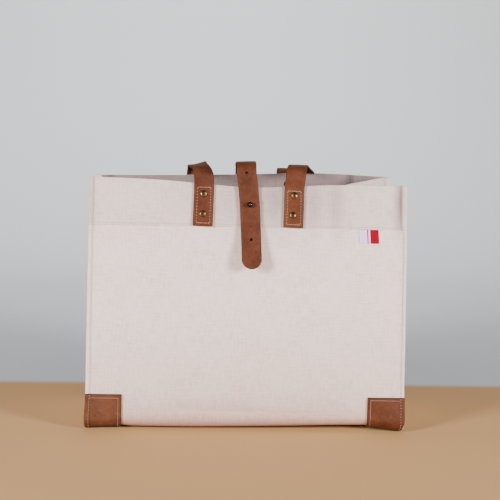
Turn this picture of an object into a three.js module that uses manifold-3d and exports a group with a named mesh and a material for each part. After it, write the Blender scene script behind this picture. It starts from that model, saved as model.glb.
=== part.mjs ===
// Canvas box tote with leather handles, a closing strap and leather corner patches.
// One long strip of canvas makes the front, the base and the back. A side wall is sewn in at each end,
// with the seam edges turned outwards, and folds inwards where the strap draws the mouth together.
// Millimetres, +Z up, front towards -Y, origin at the middle of the base, on the ground.

import * as THREE from 'three';
import { mergeVertices } from 'three/addons/utils/BufferGeometryUtils.js';
import Module from 'manifold-3d';

const wasm = await Module();
wasm.setup();

// Driving dimensions
const WIDTH = 404; // across the front, seam edge to seam edge
const DEPTH = 178; // front to back at the base
const HEIGHT = 316; // base to rim at the corners
const CANVAS = 1.2; // one layer of heavy duck
const HEM_LINE = 257.6; // lower edge of the hem, which is turned to the outside
const HEM_STEP = 0.4; // height over which the hem's edge steps out
const SEAM = 7; // seam edge that stands out at each side
const BASE_FOLD = 12; // radius of the bottom fold
const LEAN = 29; // how far each panel leans in at the rim
const LEAN_POWER = 1.6; // above 1, the lean gathers towards the rim
const NARROWING = 0.5; // half width that the rim loses
const SWELL = 3; // how far a panel bellies out at half height
const BASE_SAG = 2.1; // the base hangs this far below its edges and touches the ground
const SAG_REACH = { patch: 6, full: 60, fold: 36 }; // where the sag starts and is full
const EDGE_TUCK = { left: 0.6, right: 1.6 }; // how far the seam edges draw in where they turn under the base
const SIDE_CREASE = 0.2; // softness of the side wall's inward crease
const STRAP = { width: 25.4, thick: 2.8 };
const PATCH = { width: 45, height: 43.5, thick: 1.8 };
const LABEL = { left: 140.8, right: 165.5, foot: 239.6, thick: 1 };
const GAP = 0.3; // between pieces that touch
const SEAT_GAP = 0.5; // under a flat strap on the curved canvas

// Rivets go through a handle's end and the canvas, the stud through the canvas alone
const RIVET = { cap: 4.5, capHeight: 1.9, post: 1.5, back: 4.2, backHeight: 1.5 };
const STUD = { x: 0.1, z: 284, flange: 5.2, flangeHeight: 1.2, post: 1.9, head: 3.6, washer: 5.2 };
const HOLE_SLACK = 0.35;
const DRILL_LENGTH = 14; // more than all the layers at a hole
const ROUND_SIDES = 10; // facets round a rivet or a hole
const STRAP_HOLE = 2.1;

// The strap draws the middle of a panel in. Swells raise or lower the rim about a place across it.
const FRONT = {
  facing: -1, rimLeft: 316.5, rimRight: 313, drawnIn: 10, spread: 87,
  swells: [{ x: 0, height: -7.7, spread: 87 }],
};
const BACK = {
  facing: 1, rimLeft: 313.7, rimRight: 316.7, drawnIn: -3, spread: 110,
  swells: [{ x: 110, height: 5.5, spread: 95 }, { x: -10, height: 2, spread: 110 }],
};

// How far the bottom folds rise off the ground, from the left edge at -1 to the right edge at 1
const FOOT_LIFTS = [
  [-1, 0], [-0.94, 1.5], [-0.86, 2.1], [-0.79, 1.9], [-0.72, 0.6], [-0.53, 0], [-0.28, 0], [0, 0.9],
  [0.29, 2.1], [0.54, 3.4], [0.72, 3.8], [0.79, 4.2], [0.86, 2.6], [0.93, 0.9], [0.97, 0], [1, 0],
];

// How far the foot of a panel is pushed out at its left and right corners, and where that fades away
const CORNER_FLARE = new Map([
  [FRONT, { left: 1.5, right: 7 }],
  [BACK, { left: 3, right: 2 }],
]);
const FLARE_FADE = { from: 0.7, full: 0.98, foot: 8, top: 62, under: 40 };

// How the rim of each side wall dips towards its crease
const LEFT = { toward: -1, dip: 12, dipPower: 0.5 };
const RIGHT = { toward: 1, dip: 6.8, dipPower: 1.1 };

// Soft dents in the panels. A positive depth goes inwards.
const DENTS = [
  { panel: FRONT, x: 10, z: 24, wide: 95, tall: 13, depth: 2.6 },
  { panel: FRONT, x: 0, z: 52, wide: 130, tall: 22, depth: -1.8 },
  { panel: FRONT, x: -140, z: 30, wide: 16, tall: 22, depth: 1.4 },
  { panel: FRONT, x: 138, z: 38, wide: 18, tall: 24, depth: 1.4 },
  { panel: FRONT, x: 100, z: 290, wide: 26, tall: 45, depth: 2.2 },
  { panel: BACK, x: -20, z: 70, wide: 120, tall: 40, depth: 2.4 },
];

// Where the rivets sit
const RIVET_SEATS = [
  { name: 'rivet_front_left_upper', panel: FRONT, x: -58.7, z: 297.6 },
  { name: 'rivet_front_left_lower', panel: FRONT, x: -59.4, z: 272.6 },
  { name: 'rivet_front_right_upper', panel: FRONT, x: 57, z: 297.5 },
  { name: 'rivet_front_right_lower', panel: FRONT, x: 55.2, z: 272.8 },
  { name: 'rivet_back_left_upper', panel: BACK, x: -59.3, z: 303 },
  { name: 'rivet_back_left_lower', panel: BACK, x: -59.3, z: 278 },
  { name: 'rivet_back_right_upper', panel: BACK, x: 59.3, z: 307.5 },
  { name: 'rivet_back_right_lower', panel: BACK, x: 59.3, z: 282.5 },
];

// Paths down the middle of the straps. Turn is the heading of the strap's width about +Z, and tilt lifts
// the edge that the width points to, both in degrees. Rows with a panel lie on it, at an offset from the
// middle of its inner layer.
const HEM_OUT = CANVAS * 1.5;
const SEWN = HEM_OUT + SEAT_GAP + STRAP.thick / 2;
const AT_STUD = HEM_OUT + 2 * GAP + STUD.flangeHeight + STRAP.thick / 2;

// The front handle has fallen back over the mouth and hangs behind the back panel
const FRONT_HANDLE = [
  { panel: FRONT, x: -59.4, z: 257.4, offset: SEWN, turn: 0 },
  { panel: FRONT, x: -58.7, z: 284, offset: SEWN, turn: 0 },
  { panel: FRONT, x: -58.2, z: 309, offset: SEWN, turn: 0 },
  { x: -58.6, y: -60.4, z: 321.5, turn: 8, tilt: 1 },
  { x: -61.2, y: -54, z: 330, turn: 32, tilt: 8 },
  { x: -66.5, y: -40, z: 334, turn: 50, tilt: 17 },
  { x: -66.8, y: -20, z: 332.4, turn: 34, tilt: 10 },
  { x: -65.6, y: 12, z: 329.6, turn: 20, tilt: 6 },
  { x: -65, y: 46, z: 327.6, turn: 15, tilt: 5 },
  { x: -65, y: 68, z: 326.6, turn: 14, tilt: 4 },
  { x: -65.6, y: 84, z: 320.1, turn: 18, tilt: 2 },
  { x: -66.6, y: 93, z: 307, turn: 26 },
  { x: -64, y: 101, z: 280, turn: 48 },
  { x: -50, y: 106.5, z: 252, turn: 74 },
  { x: -24, y: 109, z: 234, turn: 86 },
  { x: 9, y: 109.5, z: 227.5, turn: 90 },
  { x: 42, y: 109, z: 234, turn: 94 },
  { x: 69, y: 109, z: 253, turn: 108 },
  { x: 82.3, y: 103, z: 280, turn: 126 },
  { x: 85.2, y: 93.5, z: 305, turn: 134 },
  { x: 84.9, y: 85.5, z: 317, turn: 135 },
  { x: 84.6, y: 75, z: 323.9, turn: 135 },
  { x: 84.5, y: 63, z: 325.6, turn: 136 },
  { x: 81, y: 48, z: 327.6, turn: 146 },
  { x: 73.4, y: 20, z: 331, turn: 160 },
  { x: 67.2, y: -14, z: 334, turn: 165 },
  { x: 62.6, y: -42, z: 335.3, turn: 168 },
  { x: 60, y: -54.6, z: 331.4, turn: 174 },
  { x: 58.3, y: -60.6, z: 321, turn: 179 },
  { panel: FRONT, x: 57.3, z: 308, offset: SEWN, turn: 180 },
  { panel: FRONT, x: 56.7, z: 284, offset: SEWN, turn: 180 },
  { panel: FRONT, x: 55.7, z: 257.4, offset: SEWN, turn: 180 },
];

// The back handle folds over outwards at once and hangs below the front one
const BACK_HANDLE = [
  { panel: BACK, x: 59.4, z: 262, offset: SEWN, turn: 180 },
  { panel: BACK, x: 59.4, z: 288, offset: SEWN, turn: 180 },
  { panel: BACK, x: 59.4, z: 312, offset: SEWN, turn: 180 },
  { x: 58.9, y: 66.4, z: 322, turn: 180 },
  { x: 58.8, y: 73.4, z: 327.2, turn: 180 },
  { x: 58.7, y: 80.5, z: 322, turn: 182 },
  { x: 59, y: 83.2, z: 307, turn: 186 },
  { x: 61, y: 86, z: 270, turn: 200 },
  { x: 62, y: 90.5, z: 220, turn: 225 },
  { x: 54, y: 97, z: 165, turn: 252 },
  { x: 32, y: 100.5, z: 128, turn: 266 },
  { x: 0, y: 101, z: 116, turn: 270 },
  { x: -32, y: 100.5, z: 128, turn: 274 },
  { x: -54, y: 97, z: 165, turn: 288 },
  { x: -62, y: 90.5, z: 220, turn: 315 },
  { x: -61.6, y: 85, z: 270, turn: 340 },
  { x: -60.2, y: 81, z: 305, turn: 354 },
  { x: -59.8, y: 78, z: 316, turn: 358 },
  { x: -59.6, y: 71.8, z: 320.6, turn: 360 },
  { x: -59.5, y: 66.2, z: 317.6, turn: 360 },
  { panel: BACK, x: -59.4, z: 309, offset: SEWN, turn: 360 },
  { panel: BACK, x: -59.4, z: 286, offset: SEWN, turn: 360 },
  { panel: BACK, x: -59.4, z: 259, offset: SEWN, turn: 360 },
];

// The closing strap, from its free tip on the front to its sewn end on the back
const CLOSING_STRAP = [
  { panel: FRONT, x: 2.7, z: 204.6, offset: 18.5, turn: 0 },
  { panel: FRONT, x: 2.75, z: 222, offset: 13, turn: 0 },
  { panel: FRONT, x: 2.2, z: 241, offset: 8.4, turn: 0, hole: STRAP_HOLE },
  { panel: FRONT, x: 1.2, z: 264, offset: 5.2, turn: 0 },
  { panel: FRONT, x: STUD.x, z: STUD.z, offset: AT_STUD, turn: 0, hole: STUD.post + HOLE_SLACK },
  { panel: FRONT, x: -1.6, z: 303, offset: 5, turn: 0 },
  { x: -4.2, y: -57.2, z: 325.5, turn: 1, tilt: 1, hole: STRAP_HOLE },
  { x: -4.4, y: -53.4, z: 334.4, turn: 3, tilt: 3 },
  { x: -4.4, y: -44, z: 338, turn: 4, tilt: 3 },
  { x: -3.2, y: 0, z: 336, turn: 2, tilt: 2 },
  { x: -1, y: 40, z: 332.2, turn: 1 },
  { x: 0.4, y: 58, z: 328, turn: 0 },
  { x: 0.8, y: 66.2, z: 319.5, turn: 0 },
  { panel: BACK, x: 0.9, z: 307, offset: SEWN, turn: 0 },
  { panel: BACK, x: 1, z: 286, offset: SEWN, turn: 0 },
  { panel: BACK, x: 1, z: 262, offset: SEWN, turn: 0 },
];

const smooth = (value, from, to) => THREE.MathUtils.smoothstep(value, from, to);
const bell = (distance, spread) => Math.exp(-((distance / spread) ** 2));
const between = THREE.MathUtils.lerp;

// Solids

function meshFrom(positions, faces) {
  const geometry = new THREE.BufferGeometry();
  geometry.setAttribute('position', new THREE.Float32BufferAttribute(positions, 3));
  geometry.setIndex(Array.from(faces));
  geometry.computeVertexNormals();
  return geometry;
}

function solidOf(geometry) {
  const bare = geometry.clone();
  bare.deleteAttribute('normal');
  bare.deleteAttribute('uv');
  const merged = mergeVertices(bare, 1e-4);
  return new wasm.Manifold(new wasm.Mesh({
    numProp: 3,
    vertProperties: new Float32Array(merged.attributes.position.array),
    triVerts: new Uint32Array(merged.index.array),
  }));
}

function drilled(geometry, holes) {
  const cut = holes.reduce((solid, hole) => solid.subtract(solidOf(hole)), solidOf(geometry));
  const mesh = cut.getMesh();
  return meshFrom(mesh.vertProperties, mesh.triVerts);
}

// Stands a piece that was made along +Y on a point, along an axis.
function stood(geometry, point, axis) {
  geometry.applyQuaternion(new THREE.Quaternion().setFromUnitVectors(new THREE.Vector3(0, 1, 0), axis));
  return geometry.translate(point.x, point.y, point.z);
}

function drill({ point, out }, radius) {
  return stood(new THREE.CylinderGeometry(radius, radius, DRILL_LENGTH, ROUND_SIDES), point, out);
}

// A turned piece along +Y. The profile runs from its foot on the axis to its top on the axis.
function turned(profile, sides) {
  const [foot, ...rings] = profile;
  const top = rings.pop();
  const positions = [0, foot.y, 0];
  const faces = [];
  rings.forEach(({ r, y }) => {
    for (let k = 0; k < sides; k++) {
      const angle = (2 * Math.PI * k) / sides;
      positions.push(r * Math.cos(angle), y, -r * Math.sin(angle));
    }
  });
  positions.push(0, top.y, 0);
  const last = positions.length / 3 - 1;
  const at = (ring, k) => 1 + ring * sides + (k % sides);
  for (let k = 0; k < sides; k++) {
    faces.push(0, at(0, k + 1), at(0, k));
    faces.push(last, at(rings.length - 1, k), at(rings.length - 1, k + 1));
    for (let ring = 0; ring < rings.length - 1; ring++) {
      faces.push(at(ring, k), at(ring, k + 1), at(ring + 1, k + 1));
      faces.push(at(ring, k), at(ring + 1, k + 1), at(ring + 1, k));
    }
  }
  return meshFrom(positions, faces);
}

const MITRE_LIMIT = 0.62; // keeps the thickness of a sharp fold within bounds

// Normals of a grid of points, and how much further a corner moves out to keep the wall's thickness.
function gridNormals(grid) {
  const quarters = [[1, 1], [-1, 1], [-1, -1], [1, -1]];
  return grid.map((row, j) => row.map((point, i) => {
    const facets = [];
    for (const [right, up] of quarters) {
      const beside = row[i + right];
      const above = grid[j + up]?.[i];
      if (beside && above) {
        const normal = beside.clone().sub(point).cross(above.clone().sub(point)).normalize();
        facets.push(normal.multiplyScalar(right * up));
      }
    }
    const mean = facets.reduce((sum, normal) => sum.add(normal), new THREE.Vector3()).normalize();
    const tightest = Math.min(...facets.map((normal) => normal.dot(mean)));
    return { mean, stretch: 1 / Math.max(tightest, MITRE_LIMIT) };
  }));
}

// A closed wall about a grid of points. The way along a row crossed with the way up the rows is outwards.
function wall(grid, outer, inner, normals = gridNormals(grid)) {
  const rows = grid.length;
  const columns = grid[0].length;
  const positions = [];
  for (const offset of [outer, inner]) {
    grid.forEach((row, j) => row.forEach((point, i) => {
      const { mean, stretch } = normals[j][i];
      positions.push(...point.clone().addScaledVector(mean, offset(j) * stretch).toArray());
    }));
  }
  const back = rows * columns;
  const at = (j, i) => j * columns + i;
  const faces = [];
  const quad = (a, b, c, d) => faces.push(a, b, c, a, c, d);
  for (let j = 0; j < rows - 1; j++) {
    for (let i = 0; i < columns - 1; i++) {
      const [a, b, c, d] = [at(j, i), at(j, i + 1), at(j + 1, i + 1), at(j + 1, i)];
      quad(a, b, c, d);
      quad(a + back, d + back, c + back, b + back);
    }
  }
  const edge = [];
  for (let i = 0; i < columns - 1; i++) edge.push(at(0, i));
  for (let j = 0; j < rows - 1; j++) edge.push(at(j, columns - 1));
  for (let i = columns - 1; i > 0; i--) edge.push(at(rows - 1, i));
  for (let j = rows - 1; j > 0; j--) edge.push(at(j, 0));
  edge.forEach((from, k) => {
    const to = edge[(k + 1) % edge.length];
    quad(to, from, from + back, to + back);
  });
  return meshFrom(positions, faces);
}

// The shape of the canvas strip

const BASE_Z = PATCH.thick + GAP + CANVAS / 2; // middle of the cloth where the base meets the folds
const FOLD_TOP = BASE_Z + BASE_FOLD;
const BASE_REACH = DEPTH / 2 - BASE_FOLD; // half length of the base between the folds
const PATCH_REACH = DEPTH / 2 - PATCH.width; // where a patch ends under the base

const toU = (fromEdge) => 1 - fromEdge / (WIDTH / 2);
const PATCH_U = toU(PATCH.width);

const shareOf = (z) => THREE.MathUtils.clamp(z / HEIGHT, 0, 1.05);
const halfDepth = (z) => DEPTH / 2 - LEAN * shareOf(z) ** LEAN_POWER;
const halfWidth = (z) => WIDTH / 2 - NARROWING * shareOf(z) ** 2;

function rimHeight(panel, u) {
  const x = u * WIDTH / 2;
  const level = between(panel.rimLeft, panel.rimRight, (u + 1) / 2);
  return panel.swells.reduce((z, swell) => z + swell.height * bell(x - swell.x, swell.spread), level);
}

function cornerFlare(panel, u) {
  const { left, right } = CORNER_FLARE.get(panel);
  const { from, full } = FLARE_FADE;
  return left * smooth(-u, from, full) + right * smooth(u, from, full);
}

// A point in the middle of a panel's inner layer. u runs from -1 to 1 across the width.
function panelPoint(panel, u, z) {
  const x = u * halfWidth(z);
  const share = shareOf(z - FOLD_TOP);
  const belly = SWELL * Math.sin(Math.PI * Math.min(share, 1)) * (1 - u * u);
  const drawn = panel.drawnIn * bell(x, panel.spread) * share ** 3;
  const dented = DENTS.filter((dent) => dent.panel === panel)
    .map((dent) => dent.depth * bell(x - dent.x, dent.wide) * bell(z - dent.z, dent.tall))
    .reduce((sum, depth) => sum + depth, 0) * smooth(z, FOLD_TOP, FOLD_TOP + 10);
  const flare = cornerFlare(panel, u) * (1 - smooth(z, FLARE_FADE.foot, FLARE_FADE.top));
  return new THREE.Vector3(x, panel.facing * (halfDepth(z) + belly - drawn - dented + flare), z);
}

// A point on a panel at an offset from the middle of its inner layer, with the way out there.
function onPanel({ panel, x, z, offset = 0 }) {
  const step = 2;
  const u = x / halfWidth(z);
  const across = panelPoint(panel, u + step / WIDTH, z).sub(panelPoint(panel, u - step / WIDTH, z));
  const up = panelPoint(panel, u, z + step).sub(panelPoint(panel, u, z - step));
  const out = across.cross(up).normalize().multiplyScalar(-panel.facing);
  return { point: panelPoint(panel, u, z).addScaledVector(out, offset), out };
}

function footLift(u) {
  const next = FOOT_LIFTS.findIndex(([place], k) => k > 0 && place >= u);
  const [start, low] = FOOT_LIFTS[next - 1];
  const [end, high] = FOOT_LIFTS[next];
  return between(low, high, (u - start) / (end - start));
}

// Where the strip lies across the bag below the panels. Under is 0 at the panel and 1 on the base.
function tuckedX(u, under) {
  const nearEdge = smooth(Math.abs(u), PATCH_U, 1);
  const tuck = u < 0 ? EDGE_TUCK.left : -EDGE_TUCK.right;
  return u * WIDTH / 2 + tuck * nearEdge * under ** 2;
}

function foldPoint(panel, u, angle) {
  const y = panel.facing * (BASE_REACH + BASE_FOLD * Math.sin(angle) + cornerFlare(panel, u));
  const under = Math.cos(angle);
  return new THREE.Vector3(tuckedX(u, under), y, BASE_Z + BASE_FOLD * (1 - under) + footLift(u));
}

function basePoint(u, y) {
  const x = tuckedX(u, 1);
  const panel = y < 0 ? FRONT : BACK;
  const inward = BASE_REACH - Math.abs(y);
  const flare = panel.facing * cornerFlare(panel, u) * (1 - smooth(inward, 0, FLARE_FADE.under));
  const endFree = smooth(WIDTH / 2 - PATCH.width - Math.abs(x), SAG_REACH.patch, SAG_REACH.full);
  const sideFree = smooth(inward, 0, SAG_REACH.fold);
  const lift = footLift(u) * (1 - sideFree);
  return new THREE.Vector3(x, y + flare, BASE_Z + lift - BASE_SAG * endFree * sideFree);
}

// Rows of the strip, from the front rim under the base to the back rim. A row gives a point for each u.
const HEM_SHARES = [1, 0.67, 0.33, 0];
const BODY_LEVELS = 6;
const FOOT_LEVELS = 2;
const FOLD_STEPS = 4;
const HALF_BASE = [BASE_REACH, (BASE_REACH + PATCH_REACH) / 2, PATCH_REACH, 16];

function panelRows(panel) {
  const rows = HEM_SHARES.map((share) => ({
    hem: true,
    at: (u) => panelPoint(panel, u, between(HEM_LINE, rimHeight(panel, u), share)),
  }));
  for (let k = 0; k < BODY_LEVELS; k++) {
    const level = between(HEM_LINE - HEM_STEP, PATCH.height, k / BODY_LEVELS);
    rows.push({ at: (u) => panelPoint(panel, u, level) });
  }
  for (let k = 0; k <= FOOT_LEVELS; k++) {
    const share = k / FOOT_LEVELS;
    const level = between(PATCH.height, FOLD_TOP, share);
    rows.push({ at: (u) => panelPoint(panel, u, level + footLift(u) * share) });
  }
  for (let k = 1; k < FOLD_STEPS; k++) {
    const angle = (Math.PI / 2) * (1 - k / FOLD_STEPS);
    rows.push({ at: (u) => foldPoint(panel, u, angle) });
  }
  return rows;
}

const FRONT_ROWS = panelRows(FRONT);
const BACK_ROWS = panelRows(BACK).reverse();
const BASE_YS = [...HALF_BASE.map((y) => -y), 0, ...HALF_BASE.slice().reverse()];
const BASE_ROWS = BASE_YS.map((y) => ({ at: (u) => basePoint(u, y) }));
const STRIP_ROWS = [...FRONT_ROWS, ...BASE_ROWS, ...BACK_ROWS];
const LAST_ROW = STRIP_ROWS.length - 1;
const CORNER_ROW = FRONT_ROWS.length - FOLD_STEPS / 2; // middle of the front fold
const PATCH_TOP = HEM_SHARES.length + BODY_LEVELS;
const PATCH_END = FRONT_ROWS.length + HALF_BASE.indexOf(PATCH_REACH);

// Columns of the strip: the seam edge, the patch and the open panel.
const PANEL_COLUMNS = 14;
const EDGE_US = [0, SEAM, (SEAM + PATCH.width) / 2].map(toU);
const MIDDLE_US = Array.from(
  { length: PANEL_COLUMNS + 1 },
  (_, k) => between(PATCH_U, -PATCH_U, k / PANEL_COLUMNS),
);
const STRIP_US = [...EDGE_US, ...MIDDLE_US, ...EDGE_US.map((u) => -u).reverse()];
const STRIP_GRID = STRIP_ROWS.map((row) => STRIP_US.map((u) => row.at(u)));
const STRIP_NORMALS = gridNormals(STRIP_GRID);

// Canvas pieces

function makeBody() {
  const strip = wall(STRIP_GRID, (j) => (STRIP_ROWS[j].hem ? HEM_OUT : CANVAS / 2), () => -CANVAS / 2);
  const rivetHoles = RIVET_SEATS.map((seat) => drill(onPanel(seat), RIVET.post + HOLE_SLACK));
  const studHole = drill(onPanel({ panel: FRONT, x: STUD.x, z: STUD.z }), STUD.post + HOLE_SLACK);
  return drilled(strip, [...rivetHoles, studHole]);
}

// A side wall. Its seam edges lie along the inside of the strip, and its middle folds into the bag.
function makeSide({ toward: side, dip, dipPower }) {
  const clear = CANVAS + GAP + 0.1;
  const strip = STRIP_ROWS.map((row) => [row.at(side), row.at(side * toU(SEAM))]);
  const normals = gridNormals(side > 0 ? strip.map(([edge, root]) => [root, edge]) : strip);
  const inside = (points) => points.map((point, j) => {
    const { mean, stretch } = normals[j][0];
    return point.clone().addScaledVector(mean, clear * stretch);
  });
  const edge = inside(strip.map((points) => points[0]));
  const root = inside(strip.map((points) => points[1]));

  const foot = root.slice(CORNER_ROW, LAST_ROW - CORNER_ROW + 1);
  const shareAcross = (point) => (point.y - foot[0].y) / (foot[foot.length - 1].y - foot[0].y);
  const creaseAt = (fromMiddle) => {
    const soft = (distance) => Math.hypot(distance, SIDE_CREASE) - SIDE_CREASE;
    return 1 - soft(fromMiddle) / soft(1);
  };
  const rows = [];
  for (let level = CORNER_ROW; level >= 0; level--) {
    const front = root[level];
    const back = root[LAST_ROW - level];
    const frontRise = (front.z - foot[0].z) / (root[0].z - foot[0].z);
    const backRise = (back.z - foot[0].z) / (root[LAST_ROW].z - foot[0].z);
    const halfOpen = (back.y - front.y) / 2;
    const foldIn = Math.sqrt(Math.max((DEPTH / 2 - clear) ** 2 - halfOpen ** 2, 0));
    const across = foot.map((point) => {
      const share = shareAcross(point);
      const crease = creaseAt(Math.abs(2 * share - 1));
      const rim = between(root[0].z, root[LAST_ROW].z, share) - dip * crease ** dipPower;
      return new THREE.Vector3(
        between(front.x, back.x, share) - side * foldIn * crease,
        between(front.y, back.y, share),
        between(point.z, rim, between(frontRise, backRise, share)),
      );
    });
    rows.push([edge[level].clone(), ...across, edge[LAST_ROW - level].clone()]);
  }
  const under = edge.slice(CORNER_ROW, LAST_ROW - CORNER_ROW + 1).map((point) => point.clone());
  const footRow = [under[0].clone(), ...under, under[under.length - 1].clone()];
  const columns = footRow.length;
  // At each end of the foot the seam edge turns the corner, so its points are spread along the fold
  footRow[1].lerp(footRow[2], 0.5);
  footRow[columns - 2].lerp(footRow[columns - 3], 0.5);
  rows[0][0].lerp(rows[1][0], 0.5);
  rows[0][columns - 1].lerp(rows[1][columns - 1], 0.5);
  const grid = [footRow, ...rows];
  const facing = side > 0 ? grid : grid.map((row) => row.slice().reverse());
  return wall(facing, () => CANVAS / 2, () => -CANVAS / 2);
}

// The folded ribbon tucked under the hem's edge
function makeLabel() {
  const heights = [HEM_LINE - HEM_STEP - GAP, (HEM_LINE + LABEL.foot) / 2, LABEL.foot];
  const xs = [LABEL.right, LABEL.left];
  const grid = heights.map((z) => xs.map((x) => onPanel({ panel: FRONT, x, z }).point));
  const inner = CANVAS / 2 + GAP;
  return wall(grid, () => inner + LABEL.thick, () => inner);
}

// Leather pieces

// A patch lies on the strip's own corner, so it is cut from the same grid
function makePatch(side, panel) {
  const rows = panel === FRONT
    ? [PATCH_TOP, PATCH_END + 1]
    : [LAST_ROW - PATCH_END, LAST_ROW - PATCH_TOP + 1];
  const wide = EDGE_US.length + 1;
  const columns = side > 0 ? [0, wide] : [-wide];
  const cut = (grid) => grid.slice(...rows).map((row) => row.slice(...columns));
  const inner = CANVAS / 2 + GAP;
  return wall(cut(STRIP_GRID), () => inner + PATCH.thick, () => inner, cut(STRIP_NORMALS));
}

// Sections along a path, with the strap's width direction and its face at each one.
const SECTION_STEP = 9;

function strapSections(table) {
  const seats = table.map((row) => (row.panel ? onPanel(row) : null));
  const points = table.map((row, k) => seats[k]?.point ?? new THREE.Vector3(row.x, row.y, row.z));
  const turns = table.map(({ panel, turn }, k) => {
    if (!panel) return turn;
    const { out } = seats[k];
    return turn + THREE.MathUtils.radToDeg(Math.atan2(-panel.facing * out.x, panel.facing * out.y));
  });
  const tilts = table.map(({ tilt = 0 }) => tilt);
  const curve = new THREE.CatmullRomCurve3(points, false, 'centripetal');
  const spans = points.length - 1;
  const sections = [];
  const addSection = (t) => {
    const span = Math.min(Math.floor(t * spans), spans - 1);
    const turn = between(turns[span], turns[span + 1], t * spans - span);
    const heading = THREE.MathUtils.degToRad(turn);
    const ahead = curve.getPoint(Math.min(t + 1e-4, 1));
    const along = ahead.sub(curve.getPoint(Math.max(t - 1e-4, 0))).normalize();
    const width = new THREE.Vector3(Math.cos(heading), Math.sin(heading), 0);
    width.addScaledVector(along, -width.dot(along)).normalize();
    const lean = THREE.MathUtils.degToRad(between(tilts[span], tilts[span + 1], t * spans - span));
    width.applyAxisAngle(along, -lean);
    sections.push({ point: curve.getPoint(t), width, face: along.clone().cross(width), row: table[span] });
  };
  for (let span = 0; span < spans; span++) {
    const steps = Math.ceil(points[span].distanceTo(points[span + 1]) / SECTION_STEP);
    for (let k = 0; k < steps; k++) addSection((span + k / steps) / spans);
  }
  addSection(1);
  return sections;
}

function strapSolid(sections, halfWidthAt) {
  const positions = [];
  const faces = [];
  const quad = (a, b, c, d) => faces.push(a, b, c, a, c, d);
  sections.forEach(({ point, width, face }, k) => {
    for (const [w, f] of [[1, 1], [-1, 1], [-1, -1], [1, -1]]) {
      const corner = point.clone()
        .addScaledVector(width, w * halfWidthAt(k))
        .addScaledVector(face, f * STRAP.thick / 2);
      positions.push(...corner.toArray());
    }
  });
  for (let k = 0; k < sections.length - 1; k++) {
    for (let side = 0; side < 4; side++) {
      const next = (side + 1) % 4;
      quad(4 * k + side, 4 * k + next, 4 * k + 4 + next, 4 * k + 4 + side);
    }
  }
  const end = 4 * (sections.length - 1);
  quad(3, 2, 1, 0);
  quad(end, end + 1, end + 2, end + 3);
  return meshFrom(positions, faces);
}

function makeHandle(table, panel) {
  const strap = strapSolid(strapSections(table), () => STRAP.width / 2);
  const seats = RIVET_SEATS.filter((seat) => seat.panel === panel);
  return drilled(strap, seats.map((seat) => drill(onPanel(seat), RIVET.post + HOLE_SLACK)));
}

// The closing strap's free end is cut to a half round
const TIP_CUTS = [
  { back: 0, share: 0.2 },
  { back: 0.7, share: 0.42 },
  { back: 2.2, share: 0.66 },
  { back: 5, share: 0.87 },
  { back: 9, share: 0.98 },
];

function makeClosingStrap() {
  const half = STRAP.width / 2;
  const plain = strapSections(CLOSING_STRAP);
  const [tip, next] = plain;
  const along = next.point.clone().sub(tip.point).normalize();
  const rounded = TIP_CUTS.map(({ back }) => ({
    ...tip,
    point: tip.point.clone().addScaledVector(along, back),
  }));
  const beyond = plain.filter(({ point }) => point.distanceTo(tip.point) > half);
  const sections = [...rounded, ...beyond];
  const strap = strapSolid(sections, (k) => half * (TIP_CUTS[k]?.share ?? 1));
  const holes = CLOSING_STRAP.flatMap((row, k) => {
    if (!row.hole) return [];
    const { point, face } = plain.find((section) => section.row === CLOSING_STRAP[k]);
    return [drill({ point, out: face }, row.hole)];
  });
  return drilled(strap, holes);
}

// Metal pieces

function makeRivet(seat) {
  const { point, out } = onPanel(seat);
  const inner = -CANVAS / 2 - GAP;
  const outer = SEWN + STRAP.thick / 2 + GAP;
  const profile = [
    { r: 0, y: inner - RIVET.backHeight },
    { r: RIVET.back * 0.7, y: inner - RIVET.backHeight * 0.85 },
    { r: RIVET.back, y: inner - RIVET.backHeight * 0.3 },
    { r: RIVET.back, y: inner },
    { r: RIVET.post, y: inner },
    { r: RIVET.post, y: outer },
    { r: RIVET.cap, y: outer },
    { r: RIVET.cap, y: outer + RIVET.capHeight * 0.3 },
    { r: RIVET.cap * 0.68, y: outer + RIVET.capHeight * 0.85 },
    { r: 0, y: outer + RIVET.capHeight },
  ];
  return stood(turned(profile, ROUND_SIDES), point, out);
}

function makeStud() {
  const { point, out } = onPanel({ panel: FRONT, x: STUD.x, z: STUD.z });
  const inner = -CANVAS / 2 - GAP;
  const flange = HEM_OUT + GAP;
  const neck = AT_STUD + STRAP.thick / 2 + GAP;
  const headMiddle = neck + STUD.head * Math.sqrt(1 - (STUD.post / STUD.head) ** 2);
  const profile = [
    { r: 0, y: inner - STUD.flangeHeight },
    { r: STUD.washer, y: inner - STUD.flangeHeight },
    { r: STUD.washer, y: inner },
    { r: STUD.post, y: inner },
    { r: STUD.post, y: flange },
    { r: STUD.flange, y: flange },
    { r: STUD.flange, y: flange + STUD.flangeHeight },
    { r: STUD.post, y: flange + STUD.flangeHeight },
    { r: STUD.post, y: neck },
  ];
  for (const degrees of [-30, 0, 30, 60]) {
    const angle = THREE.MathUtils.degToRad(degrees);
    profile.push({ r: STUD.head * Math.cos(angle), y: headMiddle + STUD.head * Math.sin(angle) });
  }
  profile.push({ r: 0, y: headMiddle + STUD.head });
  return stood(turned(profile, 12), point, out);
}

// The finished tote

const look = (color, roughness, metalness = 0) => (
  new THREE.MeshStandardMaterial({ color, roughness, metalness })
);
const canvasLook = () => look(0xe4dad4, 0.95);
const leatherLook = () => look(0x8a4f33, 0.6);
const brassLook = () => look(0x5a4630, 0.45, 1);

const tote = new THREE.Group();
tote.name = 'box_tote';

function add(name, geometry, material) {
  const mesh = new THREE.Mesh(geometry, material);
  mesh.name = name;
  tote.add(mesh);
}

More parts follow.
